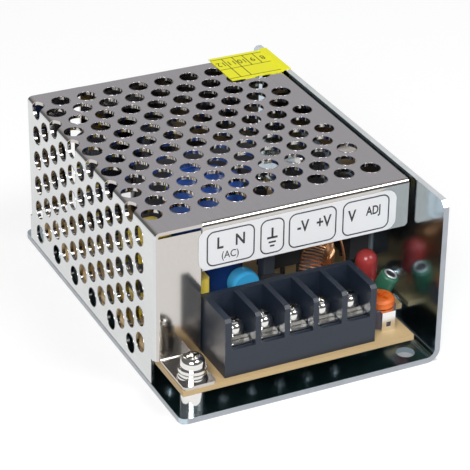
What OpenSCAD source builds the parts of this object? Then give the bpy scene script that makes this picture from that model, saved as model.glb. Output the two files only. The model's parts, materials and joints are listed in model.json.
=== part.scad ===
// Small enclosed switching power supply: an L-shaped base sheet, a folded and
// perforated cover, one circuit board with its components, and a five-way
// screw terminal block at the front edge.
// X runs to the right, Y to the back and Z up. The origin is the middle of the
// base's underside. Lengths are in millimetres.

/* [Base] */
// Width of the base, left edge to the outside of the right wall
case_w = 58; // [56:0.5:70]
// Length of the base, front to back
case_l = 85; // [84:0.5:110]
// Height of the right wall
case_h = 36.7; // [36:0.1:45]
// Thickness of the base sheet
base_t = 1.2; // [0.8:0.1:1.5]
// Outside radius of the fold between floor and wall
base_fold_r = 3; // [2:0.1:4]
// Radius of the floor's free corners
base_corner_r = 1.8; // [0.5:0.1:3]
// Size of the chamfer on the wall's upper corners
wall_chamfer = 1.2; // [0.5:0.1:3]
// Diameter of the two mounting holes in the floor
mount_hole_d = 3.9; // [3:0.1:4.5]
// Distance of the mounting holes from the floor's end edges
mount_hole_inset = 3.9; // [3.4:0.1:4.5]
// Distance of the mounting holes from the wall's outside
mount_hole_from_wall = 5.8; // [5.3:0.1:7]

/* [Cover] */
// Thickness of the cover sheet
cover_t = 0.7; // [0.5:0.1:0.9]
// Outside radius of the cover's folds
cover_fold_r = 1.1; // [1:0.1:1.5]
// How far the base stands out in front of the cover
front_ledge = 12.2; // [11.9:0.1:14]
// How far the base stands out behind the cover
rear_ledge = 4; // [2:0.1:6]
// How far the cover's top lies below the top of the wall
cover_drop = 0.3; // [0:0.1:1]
// Width of the flanges folded from the left side
flange_w = 9.8; // [8:0.1:10]
// Height of the strip folded down over the front opening
strip_h = 10.5; // [10:0.1:12]
// Cut between a folded flange and the strip beside it
relief_cut = 0.25; // [0.2:0.05:0.5]
// Seam between the cover's left side and the base
cover_lift = 0.2; // [0.1:0.05:0.3]
// Open slot between the two rear flanges
rear_slot = 2.5; // [1:0.1:4]
// Height of the gap below the rear flanges
rear_gap = 8; // [6:0.1:12]
// Depth of the flange folded down inside the right wall
side_flange_h = 9; // [7:0.1:12]
// Gap between that flange and the right wall
side_flange_gap = 0.2; // [0.1:0.1:0.6]
// Width of the earthing tab under the cover screw
tab_w = 7; // [6.4:0.1:8]

/* [Perforation] */
// Diameter of the vent holes
vent_d = 4.3; // [3:0.1:4.6]
// Pitch of the vent holes along one row
vent_pitch = 6.05; // [5.6:0.05:8]
// Pitch of the staggered rows, front to back
vent_row_pitch = 5.03; // [4.9:0.01:7]
// First row's distance from the cover's front edge
vent_front = 7.6; // [6:0.1:10]
// Least distance of the last row from the cover's rear edge
vent_rear = 5; // [4:0.1:12]
// Least distance of the holes from the cover's right edge
vent_right = 3; // [2.5:0.1:8]
// Least height of a side hole's centre above the floor
vent_bottom = 3.8; // [3.6:0.1:6]

/* [Board] */
// Thickness of the circuit board
board_t = 1.2; // [0.8:0.1:1.6]
// Height of the standoffs that carry the board
standoff_h = 4.8; // [4:0.1:7]
// Diameter of the standoffs
standoff_d = 5; // [4.5:0.1:6]
// Distance of the screw holes from the board's left and front edges
board_screw_inset = 3.6; // [3.5:0.1:4.5]
// Gap between the board and the case at its sides
board_gap = 0.8; // [0.5:0.1:1]
// Width of the step at the board's front right corner
board_step_w = 3.9; // [3:0.1:5]
// Depth of that step from the board's front edge
board_step_l = 11.9; // [10:0.1:14]
// Gap between the board's rear edge and the base's rear edge
board_rear_gap = 6.5; // [5:0.1:12]

/* [Terminal block] */
// Pitch of the terminals
terminal_pitch = 6.35; // [6.2:0.05:6.6]
// Distance of the block from the board's left edge
block_left = 9.4; // [9.2:0.1:10]
// Distance of the block from the board's front edge
block_front = 1; // [0.5:0.1:1.4]
// Height of the block above the board
block_h = 13; // [12:0.1:14]
// Depth of the cells
cell_l = 10; // [9.5:0.1:10.2]
// Thickness of the walls between the cells
cell_wall = 1.2; // [0.8:0.1:1.3]
// Thickness of the block's back wall
block_back_t = 1.4; // [1:0.1:1.8]
// Height of the low wall in front of the cells
sill_h = 6.1; // [5.8:0.1:6.4]
// Thickness of the contact plates
contact_t = 0.8; // [0.6:0.1:1]
// Side of the square clamp plates
clamp_side = 4.8; // [4.4:0.1:4.9]
// Thickness of the clamp plates
clamp_t = 0.8; // [0.6:0.1:1]
// Rest gap under and over each clamp plate
clamp_gap = 0.1; // [0.05:0.05:0.2]

/* [Screws] */
// Outside diameter of the M3 threads
thread_d = 2.9; // [2.8:0.05:2.95]
// Radial clearance of a shank in its thread or bore
shank_gap = 0.05; // [0.02:0.01:0.1]
// Diameter of the terminal screws' heads
terminal_head_d = 4.6; // [4:0.1:4.7]
// Height of the terminal screws' heads
terminal_head_h = 2.2; // [1.8:0.1:2.4]
// Length of the terminal screws below the head
terminal_screw_l = 6; // [5:0.1:6.2]
// Diameter of the countersinks in the right wall
sink_d = 5; // [4.6:0.1:5.4]
// Diameter of the case screws' heads
case_head_d = 5.4; // [5:0.1:5.8]
// Height of the case screws' heads
case_head_h = 2.4; // [1.8:0.1:2.8]
// Diameter of the head of the screw that holds the cover's earthing tab
cover_head_d = 4.9; // [4.7:0.1:5.8]

/* [Trimmer] */
// Side of the trimmer's square body
trimmer_side = 6.6; // [6.2:0.1:6.8]
// Height of the trimmer's body above the board
trimmer_h = 4; // [3:0.1:5]
// Diameter of the trimmer's rotor
rotor_d = 6; // [5:0.1:6.2]
// Height of the rotor
rotor_h = 1.7; // [1.2:0.1:2.4]

/* [Components] */
// Diameter of the bulk capacitor
bulk_d = 16; // [14:0.1:16]
// Free height between the bulk capacitor and the cover
bulk_headroom = 3.1; // [1:0.1:12]
// Side of the transformer's core
core_side = 25; // [22:0.1:25]
// Height of the transformer
transformer_h = 21; // [16:0.1:23]
// Diameter of the output capacitors
output_cap_d = 10; // [8:0.1:10]
// Height of the output capacitors
output_cap_h = 20; // [12:0.1:24]
// Diameter of the blue ceramic capacitor
disc_d = 6.2; // [5:0.1:8.6]
// Mean diameter of the output choke's ring core
ring_d = 9.6; // [9:0.1:10]
// Diameter of the winding wire
wire_d = 0.4; // [0.3:0.05:0.5]

/* [Label and seal] */
// Thickness of the label and of the seal
sticker_t = 0.15; // [0.1:0.05:0.25]
// Reach of the front label over the flange's end
label_overlap = 0.6; // [0:0.1:2]
// Distance of the label from the cover's right edge
label_right = 3.6; // [2:0.1:8]
// Height of the front label
label_h = 8.9; // [5:0.1:8.9]
// Radius of the label's corners
label_r = 2.2; // [1:0.1:2.5]
// Length of the seal, front to back
seal_l = 12.5; // [10:0.1:13]
// Width of the seal across the cover
seal_w = 14.3; // [12:0.1:20]

/* [Hidden] */
terminals = 5;
eps = 0.01; // overlap of a cut with open air
big = 60; // reach of a cut that passes through everything in its way
$fn = 48;

// heights
board_z = base_t + standoff_h;
board_top = board_z + board_t;
cover_top = case_h - cover_drop;
cover_under = cover_top - cover_t;

// the base
wall_in = case_w - base_t;
mount_hole_x = case_w - mount_hole_from_wall;
mount_hole_ys = [mount_hole_inset, case_l - mount_hole_inset];

// the cover
cover_y0 = front_ledge;
cover_y1 = case_l - rear_ledge;
cover_l = cover_y1 - cover_y0;
cover_x1 = wall_in - side_flange_gap;
strip_x0 = flange_w + relief_cut;
strip_x1 = cover_x1 - cover_t;
strip_z0 = cover_top - strip_h;
flange_top = cover_top - cover_fold_r - relief_cut;
front_flange_z0 = board_top + relief_cut;
corner_notch = 2.2; // depth of the notch at the left side's lower front corner
tab_x0 = 1; // left edge of the earthing tab
tab_y0 = board_gap; // front edge of the earthing tab
tab_fold_r = cover_t + 0.3; // outside radius of the tab's fold
side_flange_relief = 2.4; // length cut from each end of the right-hand flange
side_screw_ys = [cover_y0 + 10, cover_y1 - 10];
side_screw_z = cover_top - side_flange_h / 2;
side_screw_l = 5;

// the perforation
vent_fold_shift = 0.3; // the fold holes are centred this far outside the left edge
vent_rows = floor((cover_l - vent_front - vent_rear) / vent_row_pitch) + 1;
vent_x0 = vent_pitch / 2 - vent_fold_shift;
vent_cols = floor((cover_x1 - vent_right - vent_d / 2 - vent_x0) / vent_pitch) + 1;
vent_z_fold = cover_top - 1.1; // centre height of the holes that cross the fold
vent_steps = floor((vent_z_fold - base_t - vent_bottom) / (vent_pitch / 2));

// the board
board_x0 = board_gap;
board_x1 = wall_in - board_gap;
board_y0 = board_gap;
board_y1 = case_l - board_rear_gap;
standoff_left = board_x0 + board_screw_inset;
standoff_front = board_y0 + board_screw_inset;
standoff_rear = board_y1 - board_screw_inset;
standoff_right = board_x1 - board_screw_inset;
standoff_right_front = board_y0 + 0.3 * (board_y1 - board_y0);
cover_screw_at = [standoff_left, standoff_front];
board_screw_ats = [
    [standoff_left, standoff_rear], [standoff_right, standoff_rear],
    [standoff_right, standoff_right_front]
];
shank_hole_d = thread_d + 2 * shank_gap;
clear_hole_d = thread_d + 0.3;

// the terminal block
block_x0 = board_x0 + block_left;
block_y0 = board_y0 + block_front;
cell_w = terminal_pitch - cell_wall;
block_end_t = 1.4; // thickness of the block's end walls
block_w = (terminals - 1) * terminal_pitch + cell_w + 2 * block_end_t;
block_x1 = block_x0 + block_w;
block_l = cell_l + block_back_t;
cell_floor_z = board_top + sill_h - 0.4;
sill_t = 1;
sill_gap = 0.2; // gap between the sill and the contact plates
contact_w = cell_w - 0.3;
contact_l = cell_l - sill_t - 2 * sill_gap;
contact_top = cell_floor_z + contact_t;
clamp_z = contact_top + clamp_gap;
terminal_head_z = clamp_z + clamp_t + clamp_gap;
terminal_y = block_y0 + cell_l / 2;
function terminal_x(i) = block_x0 + block_end_t + cell_w / 2 + i * terminal_pitch;
contact_pin_d = 1.2;
contact_pin_y = block_y0 + cell_l - 1.4;
contact_pin_reach = 1.4; // length of the soldered pin below the board
pin_gap = 0.05; // radial clearance of a pin in its hole

// the trimmer, about a third of the way from the block to the wall
trimmer_gap = 0.3; // least gap between the trimmer and the block
trimmer_x = max(block_x1 + trimmer_gap + trimmer_side / 2,
    block_x1 + 0.347 * (wall_in - block_x1));
trimmer_y = board_y0 + 4.2 + trimmer_side / 2;
trimmer_top = board_top + trimmer_h;
clip_t = 0.3;
rotor_gap = 0.15; // gap between the clip and the rotor
rotor_z = trimmer_top + clip_t + rotor_gap;
rotor_shaft_d = 2;

// the step in the board's front right corner, which leaves room for the trimmer
board_step_x = min(board_x1, max(board_x1 - board_step_w, trimmer_x + trimmer_side / 2 + 0.6));

// power devices on the right wall: a tab under a screw, with its body below
pad_t = 0.3;
device_w = 10;
device_t = 4.4; // reach of a device from its pad
device_tab_t = 1.3;
device_lift = 3; // height of the device above the board
device_z = cover_top - side_flange_h - 5.2; // height of the screws
device_top = device_z + 3;
device_body_top = device_z - 3.2;
device_x = wall_in - pad_t; // the plane where the tabs meet their pads
device_ats = [[33.5, device_z], [54, device_z]]; // Y and Z of each screw

// places of the components that stay with the board's front left corner
fuse_at = [board_x0 + 28.8, 18.4];
thermistor_at = [board_x0 + 8, 26];
varistor_at = [board_x0 + 7.5, 21.4];
x_capacitor_at = [board_x0 + 7, 17];
y_capacitor_at = [board_x0 + 20.6, 17];
standing_resistor_at = [board_x0 + 30, 25.5];
choke_at = [board_x0 + 3, 30];
ring_at = [board_x0 + 40.2, 22.5];

// places of the components that stay with the trimmer or the right wall
small_capacitor_at = [wall_in - 6.05, trimmer_y + 6.65];
led_at = [board_x1 - 4.9, 19.7];

// places of the components that share out the rest of the board
bulk_at = [board_x0 + 20.4, board_y0 + 0.44 * (board_y1 - board_y0)];
bridge_at = [(bulk_at[0] + bulk_d / 2 + device_x - device_t) / 2, 33.5];
output_cap_y = board_y1 - 1.5 - output_cap_d / 2;
output_cap_xs = [board_x0 + 12, board_x0 + 25];
transformer_at = [(board_x0 + board_x1) / 2,
    (bulk_at[1] + bulk_d / 2 + output_cap_y - output_cap_d / 2) / 2];
logic_x = board_x1 - 8.8;
function logic_y(share) = let (start = bridge_at[1] + 2.2)
    start + share * (standoff_rear - 3 - start);
resistor_ats = [
    [logic_x, logic_y(0.56)], [logic_x + 2.8, logic_y(0.56)],
    [board_x0 + 6, transformer_at[1] - 6], [board_x0 + 9, transformer_at[1] - 6],
    [board_x0 + 5, transformer_at[1] + 6]
];
lead_d = 0.6;

module on_case() { translate([-case_w / 2, -case_l / 2, 0]) children(); }

// ---------------------------------------------------------------- sheet metal

// section of a sheet of thickness t folded through a right angle: a leg of
// length a along +X, a leg of length b along +Y, outside radius r at the origin
module fold_section(a, b, t, r) {
    translate([r, 0]) square([a - r, t]);
    translate([0, r]) square([t, b - r]);
    translate([r, r]) intersection() {
        difference() {
            circle(r);
            circle(r - t);
        }
        translate([-r, -r]) square(r);
    }
}

module base_chassis() {
    color("lightsteelblue") difference() {
        translate([case_w, case_l, 0]) rotate([90, 0, 0]) mirror([1, 0, 0])
            linear_extrude(case_l) fold_section(case_w, case_h, base_t, base_fold_r);
        for (far = [0, 1]) translate([0, far * case_l, 0]) mirror([0, far, 0]) {
            floor_corner_cut();
            wall_corner_cut();
        }
        for (y = mount_hole_ys) translate([mount_hole_x, y, -eps])
            cylinder(d = mount_hole_d, h = base_t + 2 * eps);
        for (at = concat([for (y = side_screw_ys) [y, side_screw_z]], device_ats))
            translate([case_w, at[0], at[1]]) rotate([0, 90, 0]) countersink();
    }
}

// hole for a flush screw in a sheet whose outer face is z = 0
module countersink() {
    translate([0, 0, -sink_d / 2]) cylinder(d1 = 0, d2 = sink_d, h = sink_d / 2);
    translate([0, 0, -base_t - eps]) cylinder(d = clear_hole_d, h = base_t + 2 * eps);
}

// waste outside the rounded corner of the floor
module floor_corner_cut() {
    translate([0, 0, -eps]) linear_extrude(base_t + 2 * eps) difference() {
        translate([-eps, -eps]) square(base_corner_r + eps);
        translate([base_corner_r, base_corner_r]) circle(base_corner_r);
    }
}

// waste outside the chamfer of the wall's upper corner
module wall_corner_cut() {
    translate([case_w - big / 2, 0, case_h]) rotate([45, 0, 0])
        translate([0, -big / 2, -wall_chamfer / sqrt(2)]) cube([big, big, big]);
}

module perforated_cover() {
    color("gainsboro") difference() {
        union() {
            cover_shell();
            for (far = [0, 1]) translate([0, far * (cover_y0 + cover_y1), 0])
                mirror([0, far, 0]) side_flange(far);
            front_strip();
            rear_strip();
            earthing_tab();
        }
        top_vents();
        side_vents();
        for (y = side_screw_ys) translate([cover_x1 - cover_t - eps, y, side_screw_z])
            rotate([0, 90, 0]) cylinder(d = shank_hole_d, h = cover_t + 2 * eps);
        translate([cover_screw_at[0], cover_screw_at[1], board_top - eps])
            cylinder(d = clear_hole_d, h = cover_t + 2 * eps);
    }
}

// left side, top and the flange folded down inside the right wall
module cover_shell() {
    difference() {
        union() {
            translate([0, cover_y1, cover_top]) rotate([90, 0, 0]) mirror([0, 1, 0])
                linear_extrude(cover_l)
                    fold_section(cover_x1 / 2, cover_top - base_t, cover_t, cover_fold_r);
            translate([cover_x1, cover_y1, cover_top]) rotate([90, 0, 0])
                mirror([0, 1, 0]) mirror([1, 0, 0]) linear_extrude(cover_l)
                    fold_section(cover_x1 / 2, side_flange_h, cover_t, cover_fold_r);
        }
        // the left side stops just above the base, and the top's free edge at the rear
        // stands back to the crest of the fold beside it
        translate([-eps, cover_y0 - eps, base_t - eps])
            cube([cover_t + 2 * eps, cover_l + 2 * eps, cover_lift + eps]);
        translate([-eps, cover_y1 - cover_fold_r * 0.75, flange_top])
            cube([flange_w + rear_slot + 2 * eps, cover_fold_r, cover_fold_r + relief_cut + eps]);
        // notch at the lower front corner of the left side
        translate([-eps, cover_y0 - eps, 0])
            cube([cover_t + 2 * eps, corner_notch + eps, board_top]);
        // corner cut beside the front and rear folds, and their rounded edges
        for (y = [cover_y0 - eps, cover_y1 - side_flange_relief])
            translate([strip_x1, y, cover_top - side_flange_h - eps])
                cube([cover_t + eps, side_flange_relief + eps, side_flange_h + 2 * eps]);
        for (far = [0, 1]) translate([0, far * (cover_y0 + cover_y1), 0])
            mirror([0, far, 0]) {
                corner_fold_waste();
                top_fold_waste(far ? flange_w + rear_slot : strip_x0);
            }
    }
}

// room at the end of the left side for the rounded fold of its flange
module corner_fold_waste() {
    translate([-eps, cover_y0 - eps, board_top])
        cube([cover_t + 2 * eps, cover_fold_r + eps, flange_top - board_top]);
}

// room at the end of the top for the rounded fold of a strip
module top_fold_waste(x0) {
    translate([x0, cover_y0 - eps, cover_top - cover_fold_r - eps])
        cube([strip_x1 - x0, cover_fold_r + eps, cover_fold_r + 2 * eps]);
}

// flange folded inwards from an end of the left side
module side_flange(far) {
    z0 = far ? rear_gap : front_flange_z0;
    difference() {
        translate([0, cover_y0, z0]) linear_extrude(flange_top - z0)
            fold_section(flange_w, cover_fold_r + eps, cover_t, cover_fold_r);
        if (!far) translate([tab_x0, cover_y0 - eps, z0 - eps])
            cube([tab_w, cover_t + 2 * eps, tab_fold_r + board_top - z0 + eps]);
    }
}

// a strip folded down from the top, from x0 to x1 and down to z0
module top_strip(x0, x1, z0) {
    translate([x0, cover_y0, cover_top]) rotate([0, 90, 0]) linear_extrude(x1 - x0)
        fold_section(cover_top - z0, cover_fold_r + eps, cover_t, cover_fold_r);
}

module front_strip() {
    snip = 0.8; // size of the snipped lower corner
    difference() {
        top_strip(strip_x0, strip_x1, strip_z0);
        translate([strip_x1, cover_y0 - eps, strip_z0]) rotate([0, 45, 0])
            translate([-snip / 2, 0, -snip / 2]) cube([snip, cover_t + 2 * eps, snip]);
    }
}

module rear_strip() {
    translate([0, cover_y0 + cover_y1, 0]) mirror([0, 1, 0])
        top_strip(flange_w + rear_slot, strip_x1, rear_gap);
}

// tab folded forward from the foot of the front flange, lying on the board
module earthing_tab() {
    corner_r = 0.8;
    tab_l = cover_y0 + cover_t - tab_y0;
    difference() {
        translate([tab_x0, cover_y0 + cover_t, board_top]) rotate([90, 0, 90])
            mirror([1, 0, 0]) linear_extrude(tab_w)
                fold_section(tab_l, tab_fold_r + eps, cover_t, tab_fold_r);
        for (x = [0, 1]) translate([tab_x0 + x * tab_w, tab_y0, board_top - eps])
            mirror([x, 0, 0]) linear_extrude(cover_t + 2 * eps) difference() {
                translate([-eps, -eps]) square(corner_r + eps);
                translate([corner_r, corner_r]) circle(corner_r);
            }
    }
}

// staggered holes in the top; those of every second row cross the left fold
module top_vents() {
    for (row = [0:vent_rows - 1]) {
        shift = row % 2 == 0 ? vent_x0 : vent_x0 - vent_pitch / 2;
        for (col = [0:vent_cols - 1]) {
            deep = col == 0 && row % 2 == 1 ? cover_fold_r + cover_t : cover_t;
            translate([shift + col * vent_pitch, vent_y(row), cover_top - deep - eps])
                cylinder(d = vent_d, h = deep + 2 * eps);
        }
    }
}

function vent_y(row) = cover_y0 + vent_front + row * vent_row_pitch;

// staggered holes in the left side, continued from the top round the fold
module side_vents() {
    for (row = [0:vent_rows - 1]) for (step = [0:vent_steps])
        if ((row + step) % 2 == 1)
            translate([-eps, vent_y(row), vent_z_fold - step * vent_pitch / 2])
                rotate([0, 90, 0]) cylinder(d = vent_d, h = cover_t + 2 * eps);
}

// ------------------------------------------------------------------- hardware

// pan head standing on z = 0 with its shank below it
module pan_screw(head_d, head_h, shank_l) {
    rim_h = head_h * 0.45;
    dome = head_h - rim_h;
    recess = head_h * 0.6;
    difference() {
        union() {
            rotate_extrude() {
                square([head_d / 2, rim_h]);
                translate([0, rim_h]) square([head_d / 2 - dome, dome]);
                translate([head_d / 2 - dome, rim_h]) intersection() {
                    circle(dome);
                    square(dome);
                }
            }
            translate([0, 0, -shank_l]) cylinder(d = thread_d, h = shank_l + eps);
        }
        for (turn = [0, 90]) rotate(turn)
            translate([-head_d * 0.3, -head_d * 0.07, head_h - recess])
                cube([head_d * 0.6, head_d * 0.14, recess + eps]);
    }
}

// flush screw with its flat head just under z = 0 and its shank below it
module flat_screw(shank_l) {
    head_d = sink_d - 4 * shank_gap;
    translate([0, 0, -shank_gap]) difference() {
        union() {
            translate([0, 0, -head_d / 2]) cylinder(d1 = 0, d2 = head_d, h = head_d / 2);
            translate([0, 0, -shank_l]) cylinder(d = thread_d, h = shank_l - 0.2);
        }
        for (turn = [0, 90]) rotate(turn)
            translate([-head_d * 0.28, -head_d * 0.06, -1]) cube([head_d * 0.56, head_d * 0.12, 2]);
    }
}

module board_standoffs() {
    color("silver") for (at = concat([cover_screw_at], board_screw_ats))
        translate([at[0], at[1], base_t]) difference() {
            cylinder(d = standoff_d, h = standoff_h);
            translate([0, 0, -eps]) cylinder(d = shank_hole_d, h = standoff_h + 2 * eps);
        }
}

module board_screws() {
    color("silver") for (at = board_screw_ats) translate([at[0], at[1], board_top])
        pan_screw(case_head_d, case_head_h, board_t + standoff_h - 1);
}

washer_t = 0.7;
spring_t = 1.6;
cover_head_z = board_top + cover_t + washer_t + spring_t;

module flat_washer() {
    color("lightgray") translate([cover_screw_at[0], cover_screw_at[1], board_top + cover_t])
        ring(6.2, clear_hole_d, washer_t);
}

// two coils of spring strip that lie on each other, the lower one split at one side
module spring_washer() {
    groove = 0.3;
    coil_t = (spring_t - groove) / 2;
    color("gray") translate([cover_screw_at[0], cover_screw_at[1], board_top + cover_t + washer_t])
        difference() {
            union() {
                ring(5.2, clear_hole_d, spring_t);
                for (z = [0, coil_t + groove]) translate([0, 0, z]) ring(5.8, clear_hole_d, coil_t);
            }
            rotate(-60) translate([0, -0.2, -eps]) cube([big, 0.4, coil_t]);
        }
}

module cover_screw() {
    color("silver") translate([cover_screw_at[0], cover_screw_at[1], cover_head_z])
        pan_screw(cover_head_d, case_head_h, cover_head_z - base_t - 1);
}

module ring(outer_d, inner_d, h) {
    difference() {
        cylinder(d = outer_d, h = h);
        translate([0, 0, -eps]) cylinder(d = inner_d, h = h + 2 * eps);
    }
}

module side_screws() {
    color("silver") for (y = side_screw_ys) translate([case_w, y, side_screw_z])
        rotate([0, 90, 0]) flat_screw(side_screw_l);
}

// ---------------------------------------------------------------------- board

module circuit_board() {
    color("burlywood") difference() {
        translate([0, 0, board_z]) linear_extrude(board_t) polygon([
            [board_x0, board_y0], [board_step_x, board_y0],
            [board_step_x, board_y0 + board_step_l],
            [board_x1, board_y0 + board_step_l], [board_x1, board_y1], [board_x0, board_y1]
        ]);
        for (at = concat([cover_screw_at], board_screw_ats))
            translate([at[0], at[1], board_z - eps])
                cylinder(d = clear_hole_d, h = board_t + 2 * eps);
        for (i = [0:terminals - 1]) contact_pin_hole(i, board_z, board_t);
    }
}

// ------------------------------------------------------------- terminal block

module contact_pin_hole(i, z, h) {
    translate([terminal_x(i), contact_pin_y, z - eps])
        cylinder(d = contact_pin_d + 2 * pin_gap, h = h + 2 * eps);
}

module terminal_block() {
    corner = 0.6; // slope cut on the top front corner of each partition
    color("dimgray") difference() {
        translate([block_x0, block_y0, board_top]) cube([block_w, block_l, block_h]);
        translate([block_x0 - eps, block_y0, board_top + block_h]) rotate([45, 0, 0])
            translate([0, -corner * sqrt(0.5), -corner * sqrt(0.5)])
                cube([block_w + 2 * eps, corner * sqrt(2), corner * sqrt(2)]);
        for (i = [0:terminals - 1]) {
            translate([terminal_x(i) - cell_w / 2, block_y0 + sill_t, cell_floor_z])
                cube([cell_w, cell_l - sill_t, block_h]);
            translate([terminal_x(i) - cell_w / 2, block_y0 - eps, board_top + sill_h])
                cube([cell_w, sill_t + 2 * eps, block_h]);
            translate([terminal_x(i), terminal_y, board_top + 0.6])
                cylinder(d = clear_hole_d + 0.2, h = block_h);
            contact_pin_hole(i, board_top, cell_floor_z - board_top);
        }
    }
}

module terminal_contacts() {
    color("silver") for (i = [0:terminals - 1]) {
        difference() {
            translate([terminal_x(i) - contact_w / 2, block_y0 + sill_t + sill_gap, cell_floor_z])
                cube([contact_w, contact_l, contact_t]);
            translate([terminal_x(i), terminal_y, cell_floor_z - eps])
                cylinder(d = shank_hole_d, h = contact_t + 2 * eps);
        }
        translate([terminal_x(i), contact_pin_y, board_z - contact_pin_reach])
            cylinder(d = contact_pin_d, h = cell_floor_z - board_z + contact_pin_reach + eps);
    }
}

module clamp_plate(i) {
    color("silver") translate([terminal_x(i), terminal_y, clamp_z]) difference() {
        translate([-clamp_side / 2, -clamp_side / 2, 0])
            cube([clamp_side, clamp_side, clamp_t]);
        translate([0, 0, -eps]) cylinder(d = shank_hole_d, h = clamp_t + 2 * eps);
    }
}

module terminal_screw(i) {
    color("silver") translate([terminal_x(i), terminal_y, terminal_head_z])
        rotate(25 + 35 * i) pan_screw(terminal_head_d, terminal_head_h, terminal_screw_l);
}

// -------------------------------------------------------------------- trimmer

module trimmer_body() {
    color("darkslategray") translate([trimmer_x, trimmer_y, board_top]) difference() {
        union() {
            cylinder(d = trimmer_side, h = trimmer_h);
            translate([-trimmer_side / 2, 0, 0]) cube([trimmer_side, trimmer_side / 2, trimmer_h]);
        }
        translate([0, 0, 0.6]) cylinder(d = rotor_shaft_d + 2 * shank_gap, h = trimmer_h);
    }
}

// sprung strip: a washer on the body's top and a tongue down its front, with a
// square window near the foot
module trimmer_clip() {
    tongue_w = 3;
    window = 1;
    reach = trimmer_side / 2 + 2 * clip_t;
    color("silver") translate([trimmer_x, trimmer_y, 0]) difference() {
        union() {
            translate([0, 0, trimmer_top]) cylinder(d = rotor_d, h = clip_t);
            translate([-tongue_w / 2, -reach, trimmer_top])
                cube([tongue_w, reach, clip_t]);
            translate([-tongue_w / 2, -reach, board_top])
                cube([tongue_w, clip_t, trimmer_h + eps]);
        }
        translate([0, 0, trimmer_top - eps])
            cylinder(d = rotor_shaft_d + 2 * shank_gap, h = clip_t + 2 * eps);
        translate([-window / 2, -reach - eps, board_top + 1])
            cube([window, clip_t + 2 * eps, window]);
    }
}

module trimmer_rotor() {
    slot_w = 0.8;
    slot_deep = 0.8;
    color("orangered") translate([trimmer_x, trimmer_y, rotor_z]) difference() {
        union() {
            rotate_extrude() difference() {
                square([rotor_d / 2, rotor_h]);
                translate([rotor_d / 2, rotor_h]) rotate(45) square(0.7, center = true);
            }
            translate([0, 0, -rotor_gap - clip_t - trimmer_h + 1])
                cylinder(d = rotor_shaft_d, h = rotor_gap + clip_t + trimmer_h - 1 + eps);
        }
        for (turn = [20, 110]) rotate(turn)
            translate([-rotor_d * 0.32, -slot_w / 2, rotor_h - slot_deep])
                cube([rotor_d * 0.64, slot_w, slot_deep + eps]);
    }
}

// ----------------------------------------------------------------- components

// a can of diameter d and height h with a rolled groove and a rounded rim
module can(d, h) {
    rim = 0.6;
    groove = 0.35;
    rotate_extrude() difference() {
        union() {
            square([d / 2 - rim, h]);
            square([d / 2, h - rim]);
            translate([d / 2 - rim, h - rim]) circle(rim);
        }
        translate([d / 2 + groove / 3, 2]) circle(groove);
        translate([0, h - 0.3]) square([d / 2 - 1.2, 1]);
    }
}

// two round leads from the board up to height h, a distance apart along X
module leads(apart, h) {
    for (side = [-1, 1]) translate([side * apart / 2, 0, 0]) cylinder(d = lead_d, h = h);
}

module indicator_led() {
    led_d = 4.6;
    stand = 3.6;
    body_h = 4.4;
    color("firebrick") translate([led_at[0], led_at[1], board_top]) {
        leads(1.6, stand + 0.2);
        translate([0, 0, stand]) {
            cylinder(d = led_d, h = body_h);
            translate([0, 0, body_h]) intersection() {
                sphere(d = led_d);
                cylinder(d = led_d, h = led_d);
            }
        }
    }
}

// small electrolytic capacitor that leans forward and to the right on its leads
module small_capacitor() {
    lean = 26;
    lean_turn = -36;
    can_d = 4.2;
    can_l = 7;
    color("darkgreen") translate([small_capacitor_at[0], small_capacitor_at[1], board_top]) {
        leads(1.5, 1.5);
        translate([0, 0, 1.1]) rotate([0, lean, lean_turn]) can(can_d, can_l);
    }
}

module fuse() {
    color("black") translate([fuse_at[0], fuse_at[1], board_top]) {
        leads(5, 1.2);
        translate([0, 0, 1]) can(7.6, 7.5);
    }
}

// a dipped disc of diameter d standing on two leads, its face towards Y
module disc(d, thick, stand) {
    leads(d * 0.6, stand + d * 0.4);
    translate([0, 0, stand + d / 2]) rotate([90, 0, 0]) intersection() {
        cylinder(d = d, h = thick, center = true);
        sphere(d = d * 1.06);
    }
}

module thermistor() {
    color("darkslategray") translate([thermistor_at[0], thermistor_at[1], board_top])
        disc(7.5, 3, 3);
}

module varistor() {
    color("navy") translate([varistor_at[0], varistor_at[1], board_top]) disc(8.2, 3.4, 4.5);
}

module y_capacitor() {
    color("dodgerblue") translate([y_capacitor_at[0], y_capacitor_at[1], board_top])
        disc(disc_d, 3.6, 14 - disc_d);
}

module x_capacitor() {
    color("gold") translate([x_capacitor_at[0], x_capacitor_at[1], board_top]) {
        leads(7.5, 0.6);
        translate([-5.2, -2.3, 0.4]) rounded_box([10.4, 4.6, 14.8], 0.6);
    }
}

// upright block with rounded vertical edges
module rounded_box(size, r) {
    linear_extrude(size[2]) {
        translate([r, 0]) square([size[0] - 2 * r, size[1]]);
        translate([0, r]) square([size[0], size[1] - 2 * r]);
        for (x = [r, size[0] - r], y = [r, size[1] - r]) translate([x, y]) circle(r);
    }
}

module standing_resistor() {
    color("whitesmoke") translate([standing_resistor_at[0], standing_resistor_at[1], board_top]) {
        leads(1.8, 1.6);
        translate([-1.3, -1.5, 1.4]) rounded_box([2.6, 3, 16.5], 0.3);
    }
}

choke_box = [8, 9, 17];
choke_foot = 0.6; // height of the mains choke's winding above the board
choke_core_z = 6; // height of the core's lower face above the board
choke_core_h = 6.5;

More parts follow.
